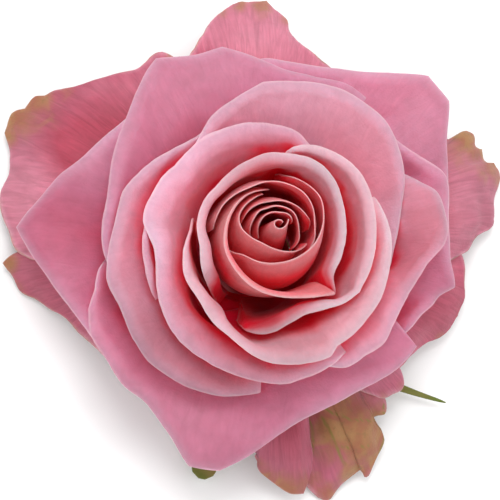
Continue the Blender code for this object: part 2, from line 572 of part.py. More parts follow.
# Sepals: the way they point in degrees, length, widest half width, the height of the tip, how far
# the middle bows to the left of the line to the tip, and the share of the width left at the tip
SEPALS = [
    ("sepal_1", -33.3, 55.3, 2.3, 3.0, -5.2, 0.1),
    ("sepal_2", -101.0, 49.8, 5.2, 3.0, 0.0, 0.5),
    ("sepal_3", 184.0, 31.0, 4.6, 2.0, 1.5, 0.1),
    ("sepal_4", 112.0, 30.0, 4.6, 2.0, -1.5, 0.1),
    ("sepal_5", 40.0, 32.0, 4.6, 2.0, 1.5, 0.1),
]
SEPAL_ROOT = (6.9, 8.6)
SEPAL_ROWS = 11
SEPAL_COLUMNS = 5


def make_sepals():
    """Five sepals folded back under the petals."""
    for name, heading, length, half_width, tip_height, bow, blunt in SEPALS:
        along = np.linspace(0.0, 1.0, SEPAL_ROWS)
        across = np.linspace(-1.0, 1.0, SEPAL_COLUMNS)
        out = SEPAL_ROOT[0] + (length - SEPAL_ROOT[0]) * along
        up = SEPAL_ROOT[1] + (tip_height - SEPAL_ROOT[1]) * np.sqrt(along)
        taper = np.interp(along, (0, 0.25, 1.0), (0.6, 1.0, blunt))
        side = across[:, None] * half_width * taper[None, :]
        side = side + bow * np.sin(math.pi * along)[None, :]
        lift = (across[:, None] ** 2) * 0.9 * taper[None, :]
        angle = math.radians(heading)
        points = np.stack([
            out[None, :] * math.cos(angle) - side * math.sin(angle),
            out[None, :] * math.sin(angle) + side * math.cos(angle),
            up[None, :] + lift], axis=-1)
        vertices, faces = plate(points, SEPAL_THICKNESS)
        make_object(name, vertices, faces, LEAF_GREEN)


def clear_scene():
    """Removes whatever the start-up file holds."""
    for thing in list(bpy.data.objects):
        bpy.data.objects.remove(thing, do_unlink=True)


def main():
    clear_scene()
    make_hip()
    make_sepals()
    make_petals()


main()
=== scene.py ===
"""Garden rose: the looks of one open bloom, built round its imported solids.

Each petal starts as a flat grid, is bent to the shape that its solid has, gets a thin skin with
Solidify and is coloured by where a point lies on it. Lengths are in millimetres until a mesh is made.
"""
import math

import bpy
import numpy as np
from mathutils import Matrix, Vector, noise
from mathutils.bvhtree import BVHTree


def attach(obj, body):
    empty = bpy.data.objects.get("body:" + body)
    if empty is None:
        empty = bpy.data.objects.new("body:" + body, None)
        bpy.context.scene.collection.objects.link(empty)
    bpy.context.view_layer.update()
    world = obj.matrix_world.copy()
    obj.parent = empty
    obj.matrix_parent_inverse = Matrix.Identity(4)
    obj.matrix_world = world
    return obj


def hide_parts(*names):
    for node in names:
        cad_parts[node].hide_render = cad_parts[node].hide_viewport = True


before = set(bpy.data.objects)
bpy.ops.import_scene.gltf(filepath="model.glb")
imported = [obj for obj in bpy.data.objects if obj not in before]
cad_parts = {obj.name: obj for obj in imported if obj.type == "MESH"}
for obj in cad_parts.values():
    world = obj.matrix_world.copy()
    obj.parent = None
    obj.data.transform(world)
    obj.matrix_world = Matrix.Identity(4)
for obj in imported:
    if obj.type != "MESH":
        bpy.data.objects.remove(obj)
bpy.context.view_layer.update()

MM = 0.001

# Driving sizes, the same as the solids have
BLOOM_WIDTH = 110.0
RECEPTACLE_RADIUS = 9.0
RECEPTACLE_HEIGHT = 13.0
CLAW_HALF_WIDTH = 2.0
HEART_HEIGHT = 55.5
STEM_RADIUS = 2.8

# How thin the petals are, and how far apart they lie
PETAL_THICKNESS = 0.42
PETAL_SPACING = 0.8
ACROSS_STEP = 0.75
ALONG_STEP = 1.0
CURL_STEPS = 8

# The eye of the photo: how the picture is set over the bloom
PHOTO_PIXELS = 500.0
MM_PER_PIXEL = BLOOM_WIDTH / PHOTO_PIXELS
EYE_DISTANCE = 800.0
EYE_TILT = math.radians(14.0)
EYE_SIDE = (-0.55, -0.835)
EYE_TARGET = np.array([-2.0, -1.5, 28.0])
HEART_PIXEL = (279.0, 224.0)

# Rows along a petal as shares of its length from claw to fold
ROW_SHARES = np.array((0.0, 0.16, 0.34, 0.54, 0.74, 0.88, 1.0))

# Cells of the map that keeps layers apart
TURN_CELLS = 360
REACH_CELL = 0.4
REACH_CELLS = 190


def eye_frame():
    """The eye point with its right, up and forward directions."""
    lean = math.sin(EYE_TILT)
    offset = np.array([EYE_SIDE[0] * lean, EYE_SIDE[1] * lean, math.cos(EYE_TILT)])
    eye = EYE_TARGET + EYE_DISTANCE * offset / np.linalg.norm(offset)
    forward = (EYE_TARGET - eye) / EYE_DISTANCE
    right = np.cross(forward, np.array([0.0, 1.0, 0.0]))
    right /= np.linalg.norm(right)
    return eye, right, np.cross(right, forward), forward


EYE, EYE_RIGHT, EYE_UP, EYE_FORWARD = eye_frame()


def place(px, py, height):
    """The point of a given height on the line of sight through a photo pixel."""
    half = PHOTO_PIXELS / 2.0
    across = (px - half) * MM_PER_PIXEL
    along = (half - py) * MM_PER_PIXEL
    ray = EYE_FORWARD * EYE_DISTANCE + EYE_RIGHT * across + EYE_UP * along
    return EYE + ray * (height - EYE[2]) / ray[2]


HEART_TOP = place(*HEART_PIXEL, HEART_HEIGHT)


def axis_at(height):
    """The bloom's own axis leans from the receptacle to the heart."""
    share = np.maximum(height - RECEPTACLE_HEIGHT, 0.0) / (HEART_HEIGHT - RECEPTACLE_HEIGHT)
    return HEART_TOP[0] * share, HEART_TOP[1] * share


def to_polar(point):
    """Turn, reach and rise of a point about the receptacle."""
    ax, ay = axis_at(point[2])
    dx, dy, dz = point[0] - ax, point[1] - ay, point[2] - RECEPTACLE_HEIGHT
    out = math.hypot(dx, dy)
    return math.atan2(dy, dx), math.hypot(out, dz), math.atan2(dz, out)


def to_world(turn, reach, rise):
    """Points from turn, reach and rise."""
    out = reach * np.cos(rise)
    height = RECEPTACLE_HEIGHT + reach * np.sin(rise)
    ax, ay = axis_at(height)
    return np.stack([ax + out * np.cos(turn), ay + out * np.sin(turn), height], axis=-1)


# Petals from the heart outward: name, rise at the claw and at mid height in degrees at both ends of
# the rim, radius of the curled margin (one, or several along the rim), its turn in degrees, and the rim
# as (photo x, photo y, height)
PETALS = [
    ("heart_petal_1", (66, 80), (80, 86), 0, 0, [
     (288.5, 219, 53.6), (287, 223.5, 54.2), (284, 227, 54.6), (280, 228.5, 54.9), (276.5, 227.5, 55.2),
     (274.5, 224.5, 55.4), (275.5, 221, 55.5), (278.5, 219.5, 55.5), (281.5, 220, 55.3),
     (283, 222, 55.1)]),
    ("heart_petal_2", (63, 63), (78, 78), 0, 0, [
     (263, 236, 46.5), (259, 229, 50), (260, 222.5, 52.4), (263.5, 217, 53.6), (268.5, 213.5, 54.2),
     (274, 212, 54.4), (280, 212.5, 54.4), (285.5, 213, 54), (290, 216, 53), (292, 221, 51)]),
    ("heart_petal_3", (56, 56), (74, 74), 0, 0, [
     (252, 236.5, 45.5), (251, 227, 50.2), (254.5, 217.5, 52.6), (260, 210.5, 53.7), (267.5, 208, 54.1),
     (274, 206, 54.3), (281, 206.2, 54.3), (287, 208.5, 54.1), (292.5, 213.5, 53.6), (296.5, 221, 52.5),
     (299, 230, 51.4), (299, 240, 49.6), (294, 248, 46.5)]),
    ("heart_petal_4", (49, 49), (69, 70), 0, 0, [
     (243.5, 227.5, 44.5), (245, 217.5, 49.6), (250.5, 209, 52), (258, 204.5, 53.2), (270, 201.8, 53.7),
     (280, 200.8, 53.7), (290, 202.8, 53.5), (299, 207.5, 52.8), (306, 214.5, 51.2), (310, 221, 48.6),
     (309, 229, 44.5)]),
    ("heart_petal_5", (47, 47), (66, 72), 0, 0, [
     (264, 196.5, 48.5), (253.5, 200, 51.2), (244, 206.5, 52.4), (239, 216.5, 53), (241.5, 228, 53.1),
     (250.5, 236.5, 53.1), (262, 242.5, 53.1), (272, 247.5, 53), (283, 251, 52.8), (293, 251.5, 52.3),
     (301, 249, 51), (307, 243.5, 47.6)]),
    ("centre_petal_1", (41, 41), (59, 69), 0, 0, [
     (219, 229, 46.5), (218, 217, 50.2), (223, 205, 51.6), (234, 195, 52.4), (250, 187, 52.8),
     (265, 181.5, 53.1), (281, 181.5, 53.2), (296, 187, 53.2), (306.5, 195.5, 52.9), (312.5, 208, 52.4),
     (313, 222, 51.9), (309.5, 237, 50.6), (302.5, 251, 47.8), (296, 262, 43.5)]),
    ("centre_petal_2", (42, 42), (60, 66), 0, 0, [
     (275, 174, 39), (286, 175.5, 45), (298, 179, 49.4), (311, 187, 51.4), (320.5, 198, 52.2),
     (324, 213, 52.5), (321, 229, 52.7), (313, 243, 52.8), (301, 255, 52.8), (287, 261, 52.8),
     (271, 263, 52.6), (256, 260.5, 51.8), (244, 255, 50.4), (236.5, 249.5, 47.6), (233, 241, 42.5)]),
    ("centre_petal_3", (40, 40), (62, 59),
     (0, 0.3, 0.7, 0.9, 0.9, 0.5), 110, [
     (269, 189.5, 48.5), (262, 191, 51.2), (252, 194, 52.2), (238, 201.5, 52.8), (229, 214, 52.9),
     (224, 231, 52.8), (224.5, 249, 52.5), (232, 265.5, 52), (245, 281.5, 51.5), (262, 292.5, 51),
     (283, 297.5, 50.3), (302, 298, 49.3), (320, 296.5, 47.8), (335, 294, 44.4)]),
    ("cup_petal_1", (34, 34), (56, 57),
     (0, 0.6, 1.4, 2, 2, 2, 2, 2, 2, 2, 2, 1.9, 1.7, 1.5, 1.4, 1.3, 1.3, 1.3, 1.3, 1.2, 1, 0.6, 0.2, 0),
     100, [
     (218, 305, 27), (213, 297, 34), (207, 284, 42.5), (201.5, 266, 48), (200, 246, 49.6),
     (204, 224, 50.2), (210, 203, 50.7), (218.5, 185.5, 51), (232, 170, 51.2), (249, 160, 51.3),
     (267, 153.5, 51.3), (284, 152.5, 51.2), (299, 154.5, 50.8), (313, 159.5, 50.4), (326, 168.5, 50.2),
     (336, 182, 50.2), (342.5, 200, 50.1), (346, 220, 49.9), (345.5, 240, 49.4), (341, 258, 48.6),
     (334, 273, 47), (326, 285, 44.5), (319, 293, 40), (313, 298, 34)]),
    ("cup_petal_2", (30, 30), (49, 49),
     (0, 0.6, 1, 1.2, 1.4, 1.5, 1.6, 1.6, 1.6, 1.6, 1.5, 1, 1.2, 1.8, 2.2, 2.2, 1.8, 1.1, 0.5, 0.1, 0),
     105, [
     (283, 155, 38), (288, 150, 44.5), (295.5, 146, 48.6), (308, 144.8, 49.7), (328, 149.5, 50),
     (344, 157.5, 50), (360, 172, 49.9), (371, 195, 49.6), (376, 222, 49.2), (375.5, 248, 48.7),
     (370, 270, 48.2), (358, 291, 47.6), (339, 298.5, 47.2), (324, 305, 46.8), (306, 314, 46.4),
     (289, 323.5, 46), (273, 332, 45.6), (259, 334, 44.8), (249, 332, 42.8), (241, 327, 38.5),
     (236, 320, 32)]),
    ("cup_petal_3", (27, 27), (49, 45), 2.6, 90, [
     (196, 219, 36.5), (190, 230, 42.5), (183, 252, 46), (185, 277, 46.5), (197, 299.5, 46.7),
     (213, 321, 46.8), (235, 339, 46.8), (259, 353, 46.8), (288, 364, 46.5), (312, 362, 46),
     (331, 356, 45.6), (338, 345.5, 45.4), (361, 326, 45.2), (380, 299, 45), (389, 270, 44.7),
     (391.5, 240, 44), (385, 215, 41.6), (374, 197, 37)]),
    ("inner_petal_1", (24, 22), (44, 41),
     (0, 2, 3.6, 4.4, 4.8, 4.8, 4.8, 4.8, 5, 5.2, 5.4, 5.4, 5.2, 5, 4.6, 4.2, 3.8, 3.6, 3.4, 3.4, 3.4,
     3.4, 3, 2.6, 1.4, 0), 70, [
     (324, 152, 35), (309, 143.5, 41.2), (295, 132, 44), (275, 126, 44.9), (250, 124, 45.1),
     (228, 129, 45), (206, 138, 44.8), (190, 152, 44.6), (177.5, 166.5, 44.3), (167, 176, 44),
     (157, 193, 43.6), (149.5, 209, 43.2), (147.5, 221, 42.9), (151.5, 233, 42.6), (156, 245, 42.3),
     (157.3, 258, 42.1), (158, 286, 42.1), (165, 315, 42.1), (180, 340, 42), (206, 360.5, 41.7),
     (238, 375.5, 41.3), (262, 382, 41), (284, 384.5, 40.5), (307, 377.5, 40.2), (331, 366, 39.3),
     (346, 352, 36.5)]),
    ("inner_petal_2", (20, 20), (39, 39),
     (0, 0.6, 1.6, 2.4, 2.6, 2.6, 2.6, 2.6, 2.6, 2.6, 2.6, 2.6, 2.4, 1.8, 1.2, 0.8, 0.5, 0.3, 0), 80, [
     (172, 186, 30), (178, 168, 36.5), (190, 153, 40.6), (201, 134, 41.9), (212, 116, 42.4),
     (234, 99, 42.5), (263, 81.5, 42.2), (290, 81, 42), (318, 83, 41.9), (345, 91.5, 41.7),
     (370, 107, 41.3), (392, 131, 40.8), (401, 155, 39.8), (404.5, 175, 38.8), (404, 190, 37.9),
     (402.5, 205, 37.2), (399.5, 225, 36.4), (394, 248, 35.2), (388, 268, 31.5)]),
    ("inner_petal_3", (17, 17), (35, 35),
     (0, 1.2, 2.2, 2.6, 2.6, 2.6, 2.6, 2.6, 2.6, 3, 3.6, 3.8, 3.4, 2, 0), 75, [
     (290, 366, 30), (318, 364, 34), (345, 361, 36.8), (366, 352, 38.2), (383, 344, 38.6),
     (394, 323, 38.8), (410.5, 291, 38.6), (428, 266, 38.2), (443.5, 243, 37.4), (448, 222, 36.8),
     (444.5, 205, 36.4), (437, 191, 35.8), (422, 183, 34.6), (407, 176, 32), (394, 170, 28)]),
    ("inner_petal_4", (15, 15), (33, 34), 1.6, 70, [
     (178, 190, 30), (160, 196, 36.5), (150, 210, 40.2), (144, 228, 41), (142.3, 240, 41),
     (142.6, 255, 40.7), (145, 270, 40.2), (149.5, 287, 38.6), (156, 300, 34.5)]),
    ("inner_petal_5", (9, 11), (29, 32), 2.6, 80, [
     (212, 126, 28.5), (191, 139.5, 33.4), (165, 153, 35.4), (141, 170.5, 36.1), (123, 192, 36.3),
     (115, 222, 36.2), (107.5, 258, 36), (108, 281, 36), (119, 305, 35.9), (131, 335, 35.7),
     (147, 360, 35.2), (171, 377.5, 35.2), (203, 392, 34.4), (232, 397, 32.4), (260, 392, 28)]),
    ("outer_petal_1", (5, 8), (21, 29), 3.4, 90, [
     (122, 285, 25), (104, 250, 29), (107, 199, 31.6), (115, 151, 32.6), (127, 112, 32.4),
     (140, 80, 31.4), (156, 58, 29.6), (177, 56, 30), (197, 53, 30.2), (222, 45.5, 30), (250, 55, 30.2),
     (282, 67.5, 30.6), (315, 76, 30.7), (342, 82, 29.8), (366, 98, 26)]),
    ("outer_petal_2", (1, 5), (14, 26), 3.2, 75, [
     (122, 246, 23), (99, 268, 27.4), (94, 290, 28), (88, 309, 27.8), (92, 336, 27.6), (107, 360, 27.2),
     (124, 387, 26.4), (143.5, 401.5, 25.8), (166, 431, 24.4), (190, 466, 21.8), (219, 471, 21.8),
     (252, 455, 23), (282, 434, 24.2), (310, 417, 25), (345, 398, 25.7), (378, 381, 26),
     (401, 367.5, 25.8), (417, 347, 25), (407, 334, 26.2), (396, 320, 26.4), (382, 300, 24.5)]),
    ("outer_petal_3", (5, 5), (22, 22), 3.2, 75, [
     (374, 118, 24.5), (400, 144, 29.2), (424, 161.5, 30.2), (447.5, 178, 29.6), (449, 205, 29.6),
     (450, 230, 29.4), (452, 258, 28.4), (456, 287, 25.8), (440, 298, 26.2), (422, 312, 26.2),
     (404, 332, 25), (388, 350, 21)]),
    ("outer_petal_4", (3, 3), (18, 18), 3.4, 75, [
     (214, 78, 19), (240, 68, 22.5), (262, 59, 25.2), (290, 60.5, 26), (320, 66, 26.2), (352, 71, 26),
     (390, 76, 25.4), (425, 79.5, 24.6), (449, 101, 23.8), (449, 126, 24.2), (448, 152, 24.6),
     (448.5, 180, 24), (446, 208, 21.5), (436, 232, 18.5)]),
    ("outer_petal_5", (-2, -4), (15, 8), 3.6, 75, [
     (150, 104, 17.5), (132, 116, 20.5), (114, 130, 22.6), (96, 143, 23.4), (80, 157.5, 23.6),
     (60, 175, 23.2), (38, 199, 21.8), (15, 227, 19), (26, 248, 20), (44, 273, 20.8), (64, 301, 21.3),
     (82, 325, 21.4), (97, 346, 20.4), (114, 366, 18), (132, 380, 15.5)]),
    ("guard_petal_1", (-7, -9), (7, 1), 1.2, 60, [
     (206, 84, 14), (186, 64, 15.4), (162, 53, 15.6), (134, 69, 14.6), (104, 77, 13), (72, 86, 10.4),
     (44, 96, 6.8), (34, 96.5, 5.6), (25.5, 110, 4.4), (13, 116, 3.4), (5, 133, 2.4), (10, 150, 1.8),
     (9, 172, 2.2), (2.5, 190, 2.6), (2.5, 205, 3.4), (8, 228, 5.2), (15, 247, 7), (34, 260, 9)]),
    ("guard_petal_2", (-6, -6), (6, 6), 1, 60, [
     (172, 84, 12), (184, 66, 13.2), (192, 53, 13), (200, 40, 11.6), (209, 26, 9.6), (220, 13, 7.4),
     (233, 4, 5.8), (248, 3.5, 5.2), (266, 2, 5), (275, 11.5, 6.4), (287, 20, 8), (292, 32, 10),
     (302, 44.5, 12), (316, 54, 13.2), (332, 68, 13.8), (350, 88, 13.6)]),
    ("guard_petal_3", (-12, -11), (-3, 1), 1, 50, [
     (66, 232, 10), (40, 246, 8.8), (20, 249.5, 6.8), (9, 256, 4.8), (3, 263, 3), (10, 275, 2),
     (20, 290, 1.2), (34, 297, 1.8), (52, 309, 3.2), (72, 325.5, 5.2), (92, 344.5, 7.4), (112, 360, 9.4),
     (136, 366, 11)]),
    ("guard_petal_4", (-5, -5), (7, 7), 1, 50, [
     (426, 126, 13.4), (442, 134, 12.8), (454, 140, 11.8), (460, 133, 10.2), (467, 131, 9),
     (475, 135, 7.8), (476, 146, 7), (483, 149, 5.6), (486, 160, 4.2), (494, 163, 2.8), (498, 172, 1.8),
     (495.5, 196, 1.4), (494, 222, 2.6), (484, 233, 5), (470, 247, 8.6), (456, 258, 11.2),
     (436, 268, 12.8)]),
    ("guard_petal_8", (-6, -6), (8, 8), 0.8, 60, [
     (346, 384, 13.6), (368, 393, 12.6), (383, 396.5, 11.8), (392, 391.5, 11.4), (401.5, 387, 11.2),
     (402.5, 378, 11.8), (400, 368, 12.4), (394, 350, 13.6), (386, 332, 14.6)]),
    ("guard_petal_5", (-8, -8), (5, 5), 1, 60, [
     (430, 226, 12.4), (450, 240, 11), (464, 256, 9.6), (464.5, 282, 7.4), (463, 300, 6), (459, 317, 4.8),
     (448, 331, 4.2), (439, 338, 4.2), (426, 343, 5.6), (411, 355, 7.4), (396, 370, 9),
     (378, 380, 10.4)]),
    ("guard_petal_6", (-7, -7), (6, 6), 1, 60, [
     (204, 424, 13.4), (224, 440, 12.8), (244, 448, 12), (257, 456, 11), (257, 467, 9), (265, 479, 7.2),
     (279, 487.5, 5.6), (292, 493, 4.6), (302, 492.5, 4.2), (305, 484, 4.8), (310, 470, 6.4),
     (313, 450, 8.8), (311, 426, 11.6), (306, 400, 13.6)]),
    ("guard_petal_7", (-11, -11), (1, 1), 0.8, 50, [
     (290, 436, 6), (298, 456, 4.2), (304, 472, 2.8), (313, 487, 1.8), (326.5, 498.5, 1.2),
     (338, 488.5, 1.6), (349, 481, 2.2), (360, 472, 3.2), (364, 477.5, 2.8), (374, 467, 3.6),
     (378, 455, 4.4), (384, 440, 5.2), (382, 428, 6.2), (375, 420.5, 6.8), (384, 414, 7), (384, 402, 7.8),
     (380, 386, 9), (372, 366, 10.4)]),
]

# The share of its length at which a petal reaches its full width, by its kind or its name
WIDE_FROM = {
    "heart": 0.85, "centre": 0.8, "cup": 0.58, "inner": 0.58, "outer": 0.5, "guard": 0.5,
    "inner_petal_2": 0.45, "inner_petal_3": 0.45, "outer_petal_3": 0.38, "outer_petal_4": 0.38,
    "guard_petal_2": 0.4, "guard_petal_4": 0.35, "guard_petal_5": 0.4, "guard_petal_6": 0.4,
}

# The first part of a later petal that wraps inside an earlier one is laid out ahead of it
LAID_AHEAD = {"centre_petal_1": ("centre_petal_3", 0.5)}

# Rim points of a petal where its edge has a corner, counted from 0
TIPS = {
    "cup_petal_2": (11,), "cup_petal_3": (10, 11), "inner_petal_1": (8,), "inner_petal_2": (6,),
    "inner_petal_5": (4, 10), "outer_petal_1": (6, 9, 12), "outer_petal_2": (3, 9, 10, 17),
    "outer_petal_3": (3, 7), "outer_petal_4": (7, 8), "outer_petal_5": (7,),
    "guard_petal_1": (6, 8, 10, 13), "guard_petal_2": (8,), "guard_petal_3": (4,),
    "guard_petal_4": (4, 7, 9), "guard_petal_5": (5, 7), "guard_petal_6": (3, 8),
    "guard_petal_7": (4, 7, 11),
}

# Ragged edges and crumples of single petals: size and height
RAGGED = {"guard_petal_7": (1.9, 0.6), "guard_petal_4": (1.7, 0.55), "guard_petal_1": (1.8, 0.45)}
CRUMPLED = {"guard_petal_7": (7.0, 1.5), "guard_petal_6": (8.0, 1.0), "guard_petal_8": (6.0, 0.8),
            "guard_petal_2": (9.0, 1.0), "guard_petal_4": (6.0, 0.9), "guard_petal_5": (6.5, 0.7),
            "guard_petal_1": (9.0, 0.8)}
CLAW_LIFT = 0.61

# Sepals: the way they point in degrees, length, widest half width, the height of the tip, how far
# the middle bows to the left of the line to the tip, and the share of the width left at the tip
SEPALS = [
    ("sepal_1", -33.3, 55.3, 2.3, 3.0, -5.2, 0.1),
    ("sepal_2", -101.0, 49.8, 5.2, 3.0, 0.0, 0.5),
    ("sepal_3", 184.0, 31.0, 4.6, 2.0, 1.5, 0.1),
    ("sepal_4", 112.0, 30.0, 4.6, 2.0, -1.5, 0.1),
    ("sepal_5", 40.0, 32.0, 4.6, 2.0, 1.5, 0.1),
]
SEPAL_ROOT = (6.9, 8.6)

# How a petal is laid out: rounds in which its fold settles, the widest half turn of its claw, and the
# turn from which a petal closes on itself
FOLD_ROUNDS = 3
CLAW_HALF_TURN = math.radians(60)
CLOSED_TURN = math.radians(330)

# How finely layers are compared, and how much more room a steep petal gets at most
MAP_TIMES = (30, 24)
MAP_CURL_STEPS = 4
CLEAR_TIMES = (4, 8)
CLEAR_ROUNDS = 2
MOST_STRETCH = 1.8


def smooth_step(value):
    """Smooth rise from 0 to 1."""
    value = np.clip(value, 0.0, 1.0)
    return value * value * (3.0 - 2.0 * value)


def through_three(first, middle, last, share):
    """A curve through three values at shares 0, 0.5 and 1."""
    return (first * 2.0 * (share - 0.5) * (share - 1.0) + middle * 4.0 * share * (1.0 - share)
            + last * 2.0 * share * (share - 0.5))


def curl_shift(angle, curl, turn):
    """How far a margin curled outward by a turn moves out and up."""
    return (curl * (np.sin(angle) - np.sin(angle - turn)),
            curl * (np.cos(angle - turn) - np.cos(angle)))


def margin_curls(curl, across):
    """Radius of the curled margin along the rim: given along it, or eased off at both ends."""
    if isinstance(curl, tuple):
        return np.interp(across, np.linspace(0.0, 1.0, len(curl)), curl)
    return curl * np.minimum(1.0, 4.0 * np.minimum(across, 1.0 - across))


def slope_angle(reach, rise):
    """Direction of the petal's run in its upright plane, at the fold."""
    out, up = reach * np.cos(rise), reach * np.sin(rise)
    return np.arctan2(up[:, -1] - up[:, -2], out[:, -1] - out[:, -2])


def spread(petal):
    """The petal's grid from claw to fold as turn, reach and rise."""
    name, claw_rise, belly_rise, curl, curl_turn, rim = petal
    polar = np.array([to_polar(place(*point)) for point in rim])
    turn_rim, reach_rim, rise_rim = np.unwrap(polar[:, 0]), polar[:, 1], polar[:, 2]
    across = np.linspace(0.0, 1.0, len(rim))
    start = RECEPTACLE_RADIUS + CLAW_LIFT
    low = np.radians(np.interp(across, (0, 1), claw_rise))[:, None]
    belly = np.radians(np.interp(across, (0, 1), belly_rise))[:, None]
    curls = margin_curls(curl, across)
    reach_end, rise_end = reach_rim, rise_rim
    for _ in range(FOLD_ROUNDS):
        reach = start + (reach_end[:, None] - start) * ROW_SHARES
        rise = through_three(low, belly, rise_end[:, None], ROW_SHARES[None, :])
        angle = slope_angle(reach, rise)
        shift_out, shift_up = curl_shift(angle, curls, math.radians(curl_turn))
        out = reach_rim * np.cos(rise_rim) - shift_out
        up = reach_rim * np.sin(rise_rim) - shift_up
        reach_end, rise_end = np.hypot(out, up), np.arctan2(up, out)
    middle = np.interp(0.5, across, turn_rim)
    claw_out = start * math.cos(float(low.mean()))
    half = min(CLAW_HALF_WIDTH / claw_out, CLAW_HALF_TURN)
    claw_turn = middle + half * np.sign(turn_rim[-1] - turn_rim[0]) * (2.0 * across - 1.0)
    wide_from = WIDE_FROM.get(name, WIDE_FROM[name.split("_")[0]])
    blend = smooth_step(ROW_SHARES / wide_from)[None, :]
    if abs(turn_rim[-1] - turn_rim[0]) > CLOSED_TURN:
        blend = np.ones_like(blend)
    turn = claw_turn[:, None] * (1.0 - blend) + turn_rim[:, None] * blend
    return {"name": name, "turn": turn, "reach": reach, "rise": rise,
            "curls": curls, "curl_turn": math.radians(curl_turn)}


def with_curl(grid, steps):
    """The grid with the rows of its curled margin added past the fold."""
    turn, reach, rise = grid["turn"], grid["reach"], grid["rise"]
    if grid["curls"].max() <= 0.0:
        return turn, reach, rise
    angle = slope_angle(reach, rise)
    fold_out, fold_up = reach[:, -1] * np.cos(rise[:, -1]), reach[:, -1] * np.sin(rise[:, -1])
    for step in range(1, steps + 1):
        shift_out, shift_up = curl_shift(angle, grid["curls"], grid["curl_turn"] * step / steps)
        out, up = fold_out + shift_out, fold_up + shift_up
        turn = np.column_stack([turn, turn[:, -1]])
        reach = np.column_stack([reach, np.hypot(out, up)])
        rise = np.column_stack([rise, np.arctan2(up, out)])
    return turn, reach, rise


def refine(values, across_times, along_times):
    """Bilinear refinement of a grid of values."""
    count, rows = values.shape
    fine_across = np.linspace(0, count - 1, (count - 1) * across_times + 1)
    fine_along = np.linspace(0, rows - 1, (rows - 1) * along_times + 1)
    first = np.array([np.interp(fine_across, np.arange(count), values[:, j]) for j in range(rows)]).T
    return np.array([np.interp(fine_along, np.arange(rows), row) for row in first])


def cells(turn, reach):
    """Cell numbers of the layer map."""
    column = np.floor(turn / (2.0 * math.pi) * TURN_CELLS).astype(int) % TURN_CELLS
    row = np.clip((reach / REACH_CELL).astype(int), 0, REACH_CELLS - 1)
    return column, row


def layer_map(grid):
    """Lowest rise of a petal in each cell, widened by one cell each way."""
    lowest = np.full((TURN_CELLS, REACH_CELLS), np.inf)
    turn, reach, rise = [refine(values, *MAP_TIMES) for values in with_curl(grid, MAP_CURL_STEPS)]
    np.minimum.at(lowest, cells(turn, reach), rise)
    edged = np.pad(lowest, ((0, 0), (1, 1)), constant_values=np.inf)
    wide = np.minimum(np.minimum(edged[:, :-2], edged[:, 2:]), lowest)
    return np.minimum(np.minimum(np.roll(wide, -1, axis=0), np.roll(wide, 1, axis=0)), wide)


def hat_weights(times):
    """How strongly one grid line answers for each fine line up to its neighbours."""
    near = 1.0 - np.abs(np.arange(-times, times + 1)) / times
    return near / (near ** 2 + (1.0 - near) ** 2)


def cover(needed, count, rows, times):
    """Push of each grid point, just enough that every fine point between gets what it needs."""
    across, along = hat_weights(times[0])[:, None], hat_weights(times[1])[None, :]
    padded = np.pad(needed, [(n, n) for n in times])
    return np.array([[
        (padded[i * times[0]:, j * times[1]:][:across.size, :along.size] * across * along).max()
        for j in range(rows)] for i in range(count)])


def keep_clear(grid, ceiling):
    """Lowers a petal where it would come too near the petals inside it."""
    for _ in range(CLEAR_ROUNDS):
        turn, reach, rise = [refine(grid[key], *CLEAR_TIMES) for key in ("turn", "reach", "rise")]
        steep = np.gradient(rise, axis=1) / np.maximum(np.gradient(reach, axis=1), 0.01)
        stretch = np.minimum(np.hypot(1.0, reach * steep), MOST_STRETCH)
        limit = ceiling[cells(turn, reach)] - PETAL_SPACING / reach * stretch
        needed = np.maximum(rise - limit, 0.0)
        needed[~np.isfinite(needed)] = 0.0
        grid["rise"] = grid["rise"] - cover(needed, *grid["rise"].shape, CLEAR_TIMES)
    return grid


def first_part(grid, share):
    """The first columns of a grid."""
    count = int(round(len(grid["turn"]) * share))
    return {**grid, **{key: grid[key][:count] for key in ("turn", "reach", "rise", "curls")}}


def lowest_of(maps):
    """The lowest rise of all petals taken so far."""
    return np.minimum.reduce([np.full((TURN_CELLS, REACH_CELLS), np.inf), *maps.values()])


def lay_out():
    """All petal grids, heart first, each kept clear of those inside it."""
    by_name = {petal[0]: petal for petal in PETALS}
    maps, grids = {}, []
    for name, petal in by_name.items():
        held = {inner: lowest for inner, lowest in maps.items()
                if inner not in LAID_AHEAD or LAID_AHEAD[inner][0] != name}
        if name in LAID_AHEAD:
            later, share = LAID_AHEAD[name]
            ahead = keep_clear(spread(by_name[later]), lowest_of(maps))
            held[later] = layer_map(first_part(ahead, share))
        grids.append(keep_clear(spread(petal), lowest_of(held)))
        maps[name] = layer_map(grids[-1])
    return grids


# Fine shape of the petals: the share of its length where a petal's corners begin to show, how much
# the way to the rim counts in the way to a side, how far in millimetres ripples and ragged bites reach
# in from the rim, and how strong and how large the finer bites are against the coarse ones
CORNERS_FROM = 0.6
SIDE_SHARE = 0.9
RIPPLE_DEPTH = 6.0
BITE_DEPTH = 1.8
FINE_BITE = 0.6
FINE_BITE_SIZE = 0.45


def steps_between(lengths, step):
    """How many fine steps each stretch between two lines gets."""
    return np.maximum(1, np.ceil(lengths / step).astype(int))


